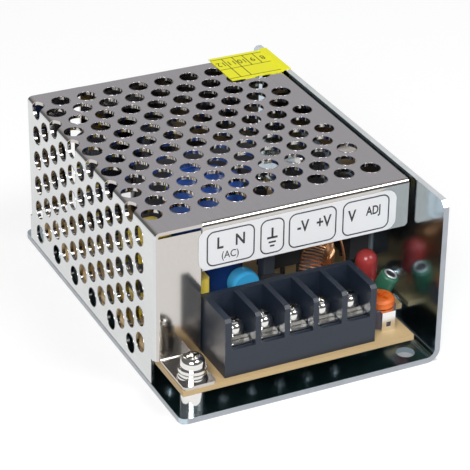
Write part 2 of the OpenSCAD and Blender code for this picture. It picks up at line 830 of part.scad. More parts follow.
// wound bobbin of the mains choke, with a window for the core's middle leg
module mains_choke_winding() {
    color("gold") translate([choke_at[0], choke_at[1], board_top]) difference() {
        union() {
            leads(1, choke_foot + eps);
            translate([0, 0, choke_foot]) rounded_box(choke_box, 1.2);
            translate([choke_box[0], 0, 0]) leads(3, choke_foot + eps);
        }
        translate([-eps, -eps, choke_core_z]) difference() {
            cube([choke_box[0] + 2 * eps, choke_box[1] + 2 * eps, choke_core_h]);
            translate([1.4, 1.4, -eps])
                cube([choke_box[0] - 2.8, choke_box[1] - 2.8, choke_core_h + 2 * eps]);
        }
    }
}

// ferrite frame that lies in the bobbin's waist
module mains_choke_core() {
    seat = 0.1;
    color("black") translate([choke_at[0] - 0.6, choke_at[1] - 0.6, board_top + choke_core_z + seat])
        difference() {
            cube([choke_box[0] + 1.2, choke_box[1] + 1.2, choke_core_h - 2 * seat]);
            translate([1.9, 1.9, -eps])
                cube([choke_box[0] - 2.6, choke_box[1] - 2.6, choke_core_h]);
        }
}

module bridge_rectifier() {
    color("black") translate([bridge_at[0], bridge_at[1], board_top]) {
        for (x = [-5.7:3.8:5.7]) translate([x, 0, 0]) cylinder(d = 1, h = 3.2);
        translate([-7.2, -1.7, 3]) difference() {
            cube([14.4, 3.4, 10.2]);
            translate([-eps, -eps, 10.2]) rotate([0, 45, 0])
                translate([-1.6, 0, -1.6]) cube([3.2, 4, 3.2]);
        }
    }
}

module bulk_capacitor() {
    color("royalblue") translate([bulk_at[0], bulk_at[1], board_top]) {
        leads(7.5, 0.6);
        translate([0, 0, 0.4]) can(bulk_d, cover_under - bulk_headroom - board_top - 0.4);
    }
}

bobbin_t = 1; // thickness of the bobbin's flanges
core_l = 18; // depth of the core, front to back
core_leg = 3.4; // thickness of the core's outer legs
core_foot = 2; // height of the core above the board

module at_transformer() {
    translate([transformer_at[0], transformer_at[1], board_top]) children();
}

// two joined E-cores: a frame in the XZ plane with a round middle leg
module transformer_core() {
    window_w = core_side - 2 * core_leg;
    window_h = transformer_h - core_foot - 2 * core_leg;
    core_t = 7;
    color("black") at_transformer() {
        difference() {
            translate([-core_side / 2, -core_t / 2, core_foot])
                cube([core_side, core_t, transformer_h - core_foot]);
            translate([-window_w / 2, -core_t / 2 - eps, core_foot + core_leg])
                cube([window_w, core_t + 2 * eps, window_h]);
        }
        translate([0, 0, core_foot + core_leg - eps])
            cylinder(d = core_t, h = window_h + 2 * eps);
    }
}

module transformer_bobbin() {
    seat = 0.15;
    z0 = core_foot + core_leg + seat;
    h = transformer_h - core_foot - 2 * core_leg - 2 * seat;
    flange_d = core_side - 2 * core_leg - 2 * seat;
    color("dimgray") at_transformer() {
        difference() {
            union() {
                for (z = [z0, z0 + h - bobbin_t]) translate([0, 0, z])
                    cylinder(d = flange_d, h = bobbin_t);
                translate([0, 0, z0]) cylinder(d = 9, h = h);
                for (side = [-1, 1]) translate([-flange_d / 2 + 1, side * 6.6 - 1, 0])
                    cube([flange_d - 2, 2, z0 + bobbin_t / 2]);
            }
            translate([0, 0, -eps]) cylinder(d = 7 + 2 * seat, h = big);
        }
    }
}

module transformer_winding() {
    seat = 0.15;
    z0 = core_foot + core_leg + seat + bobbin_t + seat;
    h = transformer_h - core_foot - 2 * core_leg - 4 * seat - 2 * bobbin_t;
    color("goldenrod") at_transformer() translate([0, 0, z0])
        ring(core_side - 2 * core_leg - 1.4, 9 + 2 * seat, h);
}

// ------------------------------------------- power devices on the right wall

module device(y) {
    foot_z = board_top + device_lift;
    difference() {
        translate([device_x - device_tab_t, y - device_w / 2, foot_z])
            cube([device_tab_t, device_w, device_top - foot_z]);
        translate([device_x - device_tab_t - eps, y, device_z]) rotate([0, 90, 0])
            cylinder(d = clear_hole_d, h = device_tab_t + 2 * eps);
    }
    translate([device_x - device_t, y - device_w / 2, foot_z])
        cube([device_t - device_tab_t + 0.1, device_w, device_body_top - foot_z]);
    for (lead = [-1:1]) translate([device_x - device_t / 2, y + lead * 2.54, board_top])
        cylinder(d = 0.9, h = device_lift + 0.2);
}

module switching_transistor() { color("black") device(device_ats[0][0]); }

module output_rectifier() { color("black") device(device_ats[1][0]); }

module insulating_pads() {
    border = 1; // reach of a pad beyond its device
    foot_z = board_top + device_lift - border;
    color("lightblue") for (at = device_ats) difference() {
        translate([device_x, at[0] - device_w / 2 - border, foot_z])
            cube([pad_t, device_w + 2 * border, device_top + border - foot_z]);
        translate([device_x - eps, at[0], at[1]]) rotate([0, 90, 0])
            cylinder(d = clear_hole_d, h = pad_t + 2 * eps);
    }
}

// flush head in the wall and a hexagon nut on each device's tab
module device_screws() {
    nut_h = 2;
    gap = 0.05;
    nut_x = device_x - device_tab_t - gap;
    color("silver") for (at = device_ats) translate([case_w, at[0], at[1]])
        rotate([0, 90, 0]) {
            flat_screw(case_w - nut_x + nut_h + 0.6);
            translate([0, 0, nut_x - case_w - nut_h])
                cylinder(d = 5.6, h = nut_h, $fn = 6);
        }
}

// ------------------------------------------------------------ output and logic

// dual in-line or surface package of the given size on short feet
module package(size, pins, pitch) {
    translate([-size[0] / 2, -size[1] / 2, 0.5]) cube(size);
    for (side = [-1, 1], pin = [0:pins - 1])
        translate([side * (size[0] / 2 - 0.2) - 0.6, (pin - (pins - 1) / 2) * pitch - 0.25, 0])
            cube([1.2, 0.5, 0.9]);
}

module controller_chip() {
    color("black") translate([logic_x, logic_y(0.22), board_top]) package([6.2, 9.2, 3], 4, 2.54);
}

module optocoupler() {
    color("black") translate([logic_x, logic_y(0.85), board_top]) package([6.2, 4.6, 3], 2, 2.54);
}

// the output choke: a ring core that stands on edge, wound with one wire
ring_turn = 47; // angle of the ring's plane from the X axis
ring_core = [2.5, 4.1]; // radial and axial size of the core's section
ring_turns = 48;
ring_sweep = 320; // part of the ring that the winding covers, in degrees
ring_steps = 8; // points along one turn
wire_room = 0.3; // distance of the wire from the flats of the core's section
wire_sides = 5;
ring_z = board_top + ring_d / 2 + ring_core[0] / 2 + wire_d + 0.4;

module at_ring() {
    translate([ring_at[0], ring_at[1], ring_z]) rotate([90, 0, ring_turn]) children();
}

module output_choke_core() {
    chamfer = 0.6;
    a = ring_core[0] / 2;
    b = ring_core[1] / 2;
    color("darkslategray") at_ring() rotate_extrude() translate([ring_d / 2, 0]) polygon([
        [-a, chamfer - b], [chamfer - a, -b], [a - chamfer, -b], [a, chamfer - b],
        [a, b - chamfer], [a - chamfer, b], [chamfer - a, b], [-a, b - chamfer]
    ]);
}

function squarish(v) = sign(v) * pow(abs(v), 0.6);

// offset of the wire's centre from the core's centre line, at angle t of a turn
function wire_out(t) = [
    (ring_core[0] / 2 + wire_d / 2 + wire_room) * squarish(cos(t)),
    (ring_core[1] / 2 + wire_d / 2 + wire_room) * squarish(sin(t))
];

function around(a, radial, axial) = [radial * cos(a), radial * sin(a), axial];

// centre of the wire at each step, with a straight lead down to the board at each end
function wire_angle(i) = -90 + (360 - ring_sweep) / 2 + ring_sweep * i / (ring_turns * ring_steps);
function wire_point(i) = let (o = wire_out(360 * i / ring_steps))
    around(wire_angle(i), ring_d / 2 + o[0], o[1]);
wire_coil = [for (i = [0:ring_turns * ring_steps]) wire_point(i)];
wire_foot = board_top - ring_z;
wire_first = wire_coil[0];
wire_last = wire_coil[len(wire_coil) - 1];
wire_path = concat([[wire_first[0], wire_foot, wire_first[2]]], wire_coil,
    [[wire_last[0], wire_foot, wire_last[2]]]);

function unit(v) = v / norm(v);

// direction from the core's centre line out to the wire at path step i
function wire_away(i) = let (
    step = max(0, min(ring_turns * ring_steps, i - 1)),
    o = wire_out(360 * step / ring_steps)
) unit(around(wire_angle(step), o[0], o[1]));

// ring of points round the wire at path step i
function wire_ring(i) = let (
    n = len(wire_path) - 1,
    along = unit(wire_path[min(i + 1, n)] - wire_path[max(i - 1, 0)]),
    side = unit(cross(along, wire_away(i))),
    up = cross(side, along)
) [for (k = [0:wire_sides - 1]) let (t = 360 * k / wire_sides)
    wire_path[i] + wire_d / 2 * (cos(t) * side + sin(t) * up)];

module output_choke_winding() {
    n = len(wire_path);
    m = wire_sides;
    color("chocolate") at_ring() polyhedron(
        points = [for (i = [0:n - 1]) each wire_ring(i)],
        faces = concat(
            [[for (k = [m - 1:-1:0]) k]],
            [for (i = [0:n - 2], k = [0:m - 1]) let (a = i * m, b = (k + 1) % m)
                each [[a + k, a + b, a + m + k], [a + b, a + m + b, a + m + k]]],
            [[for (k = [0:m - 1]) (n - 1) * m + k]]
        )
    );
}

module output_capacitors() {
    color("darkslateblue") for (x = output_cap_xs)
        translate([x, output_cap_y, board_top]) {
            leads(5, 0.6);
            translate([0, 0, 0.4]) can(output_cap_d, output_cap_h);
        }
}

// body of an axial resistor lying along Y, with its leads bent down
module axial_resistor(at) {
    translate([at[0], at[1], board_top]) {
        for (end = [-1, 1]) translate([0, end * 4.4, 0]) cylinder(d = lead_d, h = 1.5);
        translate([0, 4.4 + lead_d / 2, 1.5]) rotate([90, 0, 0])
            cylinder(d = lead_d, h = 8.8 + lead_d);
        translate([0, 3.1, 1.5]) rotate([90, 0, 0]) cylinder(d = 2.4, h = 6.2);
    }
}

module chip_resistors() {
    color("peru") for (at = resistor_ats) axial_resistor(at);
}

// ---------------------------------------------------------- label and sticker

module front_label() {
    label_x0 = flange_w - label_overlap;
    label_z0 = cover_top - cover_fold_r - 0.4 - label_h;
    color("white") translate([label_x0, cover_y0 - 0.02, label_z0]) rotate([90, 0, 0])
        rounded_box([cover_x1 - label_right - label_x0, label_h, sticker_t], label_r);
}

// seal that runs from the cover's top over the wall and down its outside
module seal_sticker() {
    overhang = 0.6; // how far the seal reaches past the cover's rear edge
    drop = 8;
    lift = 0.02;
    t = sticker_t;
    low = cover_top + lift;
    high = case_h + lift;
    right = case_w + lift;
    rise_x = wall_in - 0.6;
    color("yellow") translate([0, cover_y1 + overhang, 0]) rotate([90, 0, 0])
        linear_extrude(seal_l) polygon([
            [right - seal_w, low], [rise_x, low], [wall_in, high], [right, high],
            [right, high - drop], [right + t, high - drop], [right + t, high + t],
            [wall_in, high + t], [rise_x, low + t], [right - seal_w, low + t]
        ]);
}

// ---------------------------------------------------------------------- nodes

on_case() base_chassis();
on_case() perforated_cover();
on_case() circuit_board();
on_case() board_standoffs();
on_case() board_screws();
on_case() cover_screw();
on_case() spring_washer();
on_case() flat_washer();
on_case() side_screws();
on_case() terminal_block();
on_case() terminal_contacts();
for (i = [0:terminals - 1]) {
    on_case() clamp_plate(i);
    on_case() terminal_screw(i);
}
on_case() trimmer_body();
on_case() trimmer_clip();
on_case() trimmer_rotor();
on_case() indicator_led();
on_case() small_capacitor();
on_case() fuse();
on_case() thermistor();
on_case() varistor();
on_case() x_capacitor();
on_case() y_capacitor();
on_case() standing_resistor();
on_case() mains_choke_core();
on_case() mains_choke_winding();
on_case() bridge_rectifier();
on_case() bulk_capacitor();
on_case() transformer_core();
on_case() transformer_bobbin();
on_case() transformer_winding();
on_case() switching_transistor();
on_case() output_rectifier();
on_case() device_screws();
on_case() insulating_pads();
on_case() controller_chip();
on_case() optocoupler();
on_case() output_choke_core();
on_case() output_choke_winding();
on_case() output_capacitors();
on_case() chip_resistors();
on_case() front_label();
on_case() seal_sticker();
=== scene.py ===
"""Looks of a small enclosed switching power supply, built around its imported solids.

The solids keep their places and shapes and get their finishes here. Print, solder, hole rims,
wire and other fine pieces are made around them, in metres, in the frame of the solids.
"""

import json
import logging
import math
from dataclasses import dataclass, field
from enum import Enum
from typing import Callable, Iterable, Sequence

import bmesh
import bpy
from mathutils import Matrix, Vector

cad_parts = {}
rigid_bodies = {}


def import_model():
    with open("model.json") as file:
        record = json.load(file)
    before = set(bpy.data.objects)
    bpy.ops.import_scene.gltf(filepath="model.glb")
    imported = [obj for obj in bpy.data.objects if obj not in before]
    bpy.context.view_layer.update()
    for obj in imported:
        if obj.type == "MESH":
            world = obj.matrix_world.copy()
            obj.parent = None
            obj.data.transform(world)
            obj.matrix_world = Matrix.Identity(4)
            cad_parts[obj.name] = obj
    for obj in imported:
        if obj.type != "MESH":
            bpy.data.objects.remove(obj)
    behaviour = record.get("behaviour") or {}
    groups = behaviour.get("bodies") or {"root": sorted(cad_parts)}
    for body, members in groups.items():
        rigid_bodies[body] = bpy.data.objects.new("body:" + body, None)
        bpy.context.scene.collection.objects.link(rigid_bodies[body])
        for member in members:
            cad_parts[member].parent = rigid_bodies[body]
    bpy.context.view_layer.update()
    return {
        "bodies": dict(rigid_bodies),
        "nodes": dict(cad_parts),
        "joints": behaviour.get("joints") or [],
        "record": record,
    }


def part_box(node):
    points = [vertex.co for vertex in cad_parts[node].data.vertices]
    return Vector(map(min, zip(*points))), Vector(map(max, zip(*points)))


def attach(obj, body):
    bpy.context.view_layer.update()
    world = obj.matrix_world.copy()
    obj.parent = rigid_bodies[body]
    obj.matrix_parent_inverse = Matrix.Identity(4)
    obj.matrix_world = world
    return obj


LOG = logging.getLogger("power_supply")
MM = 0.001

Color = tuple[float, float, float]
Socket = bpy.types.NodeSocket


def mm(x: float, y: float, z: float) -> Vector:
    """A point or a size in metres, from millimetres."""
    return Vector((x, y, z)) * MM


# ----------------------------------------------------------------- shader effects


class Effects:
    """The node groups that several finishes share. Each is built once, when first asked for."""

    _built: dict[str, bpy.types.NodeTree] = {}

    @classmethod
    def get(cls, name: str) -> bpy.types.NodeTree:
        """Find a group, building it the first time.

        Args:
            name: One of grain, mottle, smudge, fibre, windings and region.

        Returns:
            The finished node group.
        """
        if name not in cls._built:
            cls._built[name] = getattr(cls, f"_build_{name}")()
        return cls._built[name]

    @staticmethod
    def _tree(name: str, inputs: dict[str, float | Color], outputs: Sequence[str]) -> bpy.types.NodeTree:
        """Start a group with its sockets.

        Args:
            name: Name of the group.
            inputs: Name and default of each input; a triple makes a vector.
            outputs: Names of the outputs, each a single value.

        Returns:
            The group, with its input and output nodes in place.
        """
        tree = bpy.data.node_groups.new(name, "ShaderNodeTree")
        for label, default in inputs.items():
            kind = "NodeSocketFloat" if isinstance(default, float) else "NodeSocketVector"
            socket = tree.interface.new_socket(label, in_out="INPUT", socket_type=kind)
            socket.default_value = default
        for label in outputs:
            tree.interface.new_socket(label, in_out="OUTPUT", socket_type="NodeSocketFloat")
        tree.nodes.new("NodeGroupInput").name = "in"
        tree.nodes.new("NodeGroupOutput").name = "out"
        return tree

    @staticmethod
    def _math(tree: bpy.types.NodeTree, operation: str, *values: Socket | float) -> Socket:
        """Add a Math node and return its output."""
        node = tree.nodes.new("ShaderNodeMath")
        node.operation = operation
        for socket, value in zip(node.inputs, values):
            if isinstance(value, Socket):
                tree.links.new(value, socket)
            else:
                socket.default_value = value
        return node.outputs[0]

    @staticmethod
    def _place(tree: bpy.types.NodeTree, stretch: Color) -> Socket:
        """Object coordinates, stretched along the three axes."""
        where = tree.nodes.new("ShaderNodeTexCoord").outputs["Object"]
        node = tree.nodes.new("ShaderNodeMapping")
        node.inputs["Scale"].default_value = stretch
        tree.links.new(where, node.inputs["Vector"])
        return node.outputs[0]

    @classmethod
    def _mixed(cls, tree: bpy.types.NodeTree, first: Socket, second: Socket, share: float) -> Socket:
        """Mix two values, taking the given share of the first."""
        return cls._math(tree, "ADD", cls._math(tree, "MULTIPLY", first, share),
                         cls._math(tree, "MULTIPLY", second, 1.0 - share))

    @classmethod
    def _put_out(cls, tree: bpy.types.NodeTree, tone: Socket, height: Socket) -> bpy.types.NodeTree:
        """Spread a tone about its middle by the group's contrast, and join both outputs."""
        start, end = tree.nodes["in"], tree.nodes["out"]
        spread = cls._math(tree, "MULTIPLY", cls._math(tree, "SUBTRACT", tone, 0.5),
                           start.outputs["Contrast"])
        tree.links.new(cls._math(tree, "ADD", spread, 0.5), end.inputs["Tone"])
        tree.links.new(height, end.inputs["Height"])
        return tree

    @classmethod
    def _noise(cls, tree: bpy.types.NodeTree, scale: Socket | float, detail: float,
               stretch: Color) -> Socket:
        """Add a noise texture in object coordinates and return its value."""
        node = tree.nodes.new("ShaderNodeTexNoise")
        node.inputs["Detail"].default_value = detail
        tree.links.new(cls._place(tree, stretch), node.inputs["Vector"])
        if isinstance(scale, Socket):
            tree.links.new(scale, node.inputs["Scale"])
        else:
            node.inputs["Scale"].default_value = scale
        return node.outputs["Fac"]

    @classmethod
    def _build_grain(cls) -> bpy.types.NodeTree:
        """Fine rolled grain of sheet metal, drawn out front to back."""
        tree = cls._tree("rolled_grain", {"Scale": 900.0, "Contrast": 1.0}, ["Tone", "Height"])
        fine = cls._noise(tree, tree.nodes["in"].outputs["Scale"], 3.0, (1.0, 0.12, 1.0))
        cloud = cls._noise(tree, 60.0, 2.0, (1.0, 1.0, 1.0))
        return cls._put_out(tree, cls._mixed(tree, fine, cloud, 0.6), fine)

    @classmethod
    def _build_mottle(cls) -> bpy.types.NodeTree:
        """Crystals of a zinc coating, in flakes of uneven tone."""
        tree = cls._tree("zinc_mottle", {"Scale": 600.0, "Contrast": 1.0}, ["Tone", "Height"])
        cells = tree.nodes.new("ShaderNodeTexVoronoi")
        tree.links.new(cls._place(tree, (1.0, 1.0, 1.0)), cells.inputs["Vector"])
        tree.links.new(tree.nodes["in"].outputs["Scale"], cells.inputs["Scale"])
        flake = tree.nodes.new("ShaderNodeSeparateColor")
        tree.links.new(cells.outputs["Color"], flake.inputs[0])
        cloud = cls._noise(tree, 220.0, 4.0, (1.0, 1.0, 1.0))
        return cls._put_out(tree, cls._mixed(tree, flake.outputs[0], cloud, 0.5), cloud)

    @classmethod
    def _build_smudge(cls) -> bpy.types.NodeTree:
        """Soft handling marks and dust, in patches."""
        tree = cls._tree("handling_marks", {"Scale": 90.0, "Contrast": 1.0}, ["Tone", "Height"])
        patch = cls._noise(tree, tree.nodes["in"].outputs["Scale"], 5.0, (1.0, 1.0, 1.0))
        speck = cls._noise(tree, 2600.0, 1.0, (1.0, 1.0, 1.0))
        height = cls._math(tree, "ADD", speck, cls._math(tree, "MULTIPLY", patch, 0.5))
        return cls._put_out(tree, patch, height)

    @classmethod
    def _build_fibre(cls) -> bpy.types.NodeTree:
        """Paper fibres pressed into a phenolic board."""
        tree = cls._tree("paper_fibre", {"Scale": 500.0, "Contrast": 1.0}, ["Tone", "Height"])
        along = cls._noise(tree, tree.nodes["in"].outputs["Scale"], 4.0, (0.35, 1.0, 1.0))
        layers = cls._noise(tree, 1500.0, 2.0, (0.05, 0.05, 3.0))
        both = cls._mixed(tree, along, layers, 0.6)
        return cls._put_out(tree, both, both)

    @classmethod
    def _build_windings(cls) -> bpy.types.NodeTree:
        """Turns of wire or tape that lie over each other up a coil."""
        tree = cls._tree("windings", {"Scale": 1500.0, "Contrast": 1.0}, ["Tone", "Height"])
        wave = tree.nodes.new("ShaderNodeTexWave")
        wave.bands_direction = "Z"
        wave.inputs["Distortion"].default_value = 1.2
        wave.inputs["Detail"].default_value = 1.0
        tree.links.new(cls._place(tree, (1.0, 1.0, 1.0)), wave.inputs["Vector"])
        tree.links.new(tree.nodes["in"].outputs["Scale"], wave.inputs["Scale"])
        return cls._put_out(tree, wave.outputs["Fac"], wave.outputs["Fac"])

    @classmethod
    def _build_region(cls) -> bpy.types.NodeTree:
        """A mask of what lies past a plane, 1 beyond it and 0 before it, in object coordinates."""
        tree = cls._tree("region", {"Direction": (0.0, 0.0, 1.0), "Distance": 0.0, "Softness": 0.0001},
                         ["Mask"])
        start, end = tree.nodes["in"], tree.nodes["out"]
        dot = tree.nodes.new("ShaderNodeVectorMath")
        dot.operation = "DOT_PRODUCT"
        tree.links.new(tree.nodes.new("ShaderNodeTexCoord").outputs["Object"], dot.inputs[0])
        tree.links.new(start.outputs["Direction"], dot.inputs[1])
        past = cls._math(tree, "SUBTRACT", dot.outputs["Value"], start.outputs["Distance"])
        share = cls._math(tree, "DIVIDE", past, start.outputs["Softness"])
        clamp = tree.nodes.new("ShaderNodeClamp")
        tree.links.new(share, clamp.inputs["Value"])
        tree.links.new(clamp.outputs[0], end.inputs["Mask"])
        return tree


class Surface(Enum):
    """How the surface of a finish varies from place to place."""

    ROLLED = "grain"
    SPANGLED = "mottle"
    HANDLED = "smudge"
    FIBROUS = "fibre"
    WOUND = "windings"


# ----------------------------------------------------------------------- finishes


@dataclass(frozen=True)
class Finish:
    """A finish: one Principled shader fed by one surface effect.

    Attributes:
        name: Name of the material.
        color: Colour in linear light.
        surface: The effect that varies it.
        scale: How fine the effect is.
        contrast: How strongly the effect varies the colour.
        metallic: 1 on bare metal.
        roughness: Middle roughness.
        uneven: How far the roughness departs from its middle.
        relief: Height of the effect in metres.
        coat: Weight of a clear coat.
        glow: Share of the light that passes into the body.
    """

    name: str
    color: Color
    surface: Surface = Surface.HANDLED
    scale: float = 90.0
    contrast: float = 0.3
    metallic: float = 0.0
    roughness: float = 0.4
    uneven: float = 0.1
    relief: float = 0.000004
    coat: float = 0.0
    glow: float = 0.0

    def material(self) -> bpy.types.Material:
        """Build the material, or find it if it is already there."""
        found = bpy.data.materials.get(self.name)
        return found or self._build()

    def _build(self) -> bpy.types.Material:
        """Build the shader and its effect."""
        material = bpy.data.materials.new(self.name)
        material.use_nodes = True
        tree = material.node_tree
        body = tree.nodes["Principled BSDF"]
        body.inputs["Metallic"].default_value = self.metallic
        body.inputs["Coat Weight"].default_value = self.coat
        body.inputs["Coat Roughness"].default_value = 0.06
        body.inputs["Transmission Weight"].default_value = self.glow
        effect = self._effect(tree)
        tone = effect.outputs["Tone"]
        color = self._blend(tree, tone, self._shade(-self.contrast), self._shade(self.contrast))
        rough = self._range(tree, tone, self.roughness - self.uneven, self.roughness + self.uneven)
        color, rough = self._regions(tree, color, rough)
        tree.links.new(color, body.inputs["Base Color"])
        tree.links.new(rough, body.inputs["Roughness"])
        bump = tree.nodes.new("ShaderNodeBump")
        bump.inputs["Distance"].default_value = self.relief
        tree.links.new(effect.outputs["Height"], bump.inputs["Height"])
        tree.links.new(bump.outputs["Normal"], body.inputs["Normal"])
        return material

    def _effect(self, tree: bpy.types.NodeTree) -> bpy.types.Node:
        """Place the surface effect in the material."""
        node = tree.nodes.new("ShaderNodeGroup")
        node.node_tree = Effects.get(self.surface.value)
        node.inputs["Scale"].default_value = self.scale
        return node

    def _shade(self, step: float) -> tuple[float, float, float, float]:
        """The colour made lighter or darker by a share of itself."""
        return (*(min(1.0, c * (1 + step)) for c in self.color), 1.0)

    @staticmethod
    def _blend(tree: bpy.types.NodeTree, share: Socket, first: object, second: object) -> Socket:
        """Mix two colours, each a socket or a value, by a share."""
        node = tree.nodes.new("ShaderNodeMix")
        node.data_type = "RGBA"
        tree.links.new(share, node.inputs["Factor"])
        for label, value in (("A", first), ("B", second)):
            socket = next(s for s in node.inputs if s.name == label and s.type == "RGBA")
            if isinstance(value, Socket):
                tree.links.new(value, socket)
            else:
                socket.default_value = value
        return next(s for s in node.outputs if s.type == "RGBA")

    @staticmethod
    def _range(tree: bpy.types.NodeTree, value: Socket, low: float, high: float) -> Socket:
        """Map a value from 0-1 to a range."""
        node = tree.nodes.new("ShaderNodeMapRange")
        node.inputs["To Min"].default_value = max(0.02, low)
        node.inputs["To Max"].default_value = high
        tree.links.new(value, node.inputs["Value"])
        return node.outputs[0]

    @staticmethod
    def _mix_value(tree: bpy.types.NodeTree, share: Socket, first: Socket, second: float) -> Socket:
        """Mix a varying value towards a fixed one by a share."""
        node = tree.nodes.new("ShaderNodeMix")
        tree.links.new(share, node.inputs["Factor"])
        tree.links.new(first, node.inputs["A"])
        node.inputs["B"].default_value = second
        return node.outputs["Result"]

    @staticmethod
    def _past(tree: bpy.types.NodeTree, direction: Color, distance: float, softness: float) -> Socket:
        """Mask of what lies past a plane across a direction."""
        node = tree.nodes.new("ShaderNodeGroup")
        node.node_tree = Effects.get("region")
        node.inputs["Direction"].default_value = direction
        node.inputs["Distance"].default_value = distance
        node.inputs["Softness"].default_value = softness
        return node.outputs["Mask"]

    def _regions(self, tree: bpy.types.NodeTree, color: Socket, rough: Socket) -> tuple[Socket, Socket]:
        """Change colour and roughness in parts of the surface; a plain finish has none."""
        return color, rough


@dataclass(frozen=True)
class Region:
    """A part of a surface that lies past a plane.

    Attributes:
        direction: The way that the plane faces.
        distance: How far the plane lies from the origin, in metres.
        color: Colour past the plane.
        roughness: Roughness past the plane.
        metallic: How metallic it is past the plane.
        softness: Width of the change, in metres.
    """

    direction: Color
    distance: float
    color: Color
    roughness: float
    metallic: float = 1.0
    softness: float = 0.00005


@dataclass(frozen=True)
class RegionalFinish(Finish):
    """A finish that changes past some planes.

    Attributes:
        regions: The parts, each laid over the ones before it.
    """

    regions: tuple[Region, ...] = ()

    def _regions(self, tree: bpy.types.NodeTree, color: Socket, rough: Socket) -> tuple[Socket, Socket]:
        """Lay each region's colour, roughness and, where it differs, metal over what is there."""
        masks = [self._past(tree, r.direction, r.distance, r.softness) for r in self.regions]
        for region, mask in zip(self.regions, masks):
            color = self._blend(tree, mask, color, self._tinted(tree, region.color))
            rough = self._mix_value(tree, mask, rough, region.roughness)
        if any(region.metallic != self.metallic for region in self.regions):
            metal = tree.nodes.new("ShaderNodeValue")
            metal.outputs[0].default_value = self.metallic
            share = metal.outputs[0]
            for region, mask in zip(self.regions, masks):
                share = self._mix_value(tree, mask, share, region.metallic)
            tree.links.new(share, tree.nodes["Principled BSDF"].inputs["Metallic"])
        return color, rough

    def _tinted(self, tree: bpy.types.NodeTree, tint: Color) -> Socket:
        """The part's colour, varied by the same effect as the rest."""
        low = (*(c * (1 - self.contrast) for c in tint), 1.0)
        high = (*(min(1.0, c * (1 + self.contrast)) for c in tint), 1.0)
        return self._blend(tree, self._effect(tree).outputs["Tone"], low, high)


# -------------------------------------------------------------------- mesh making


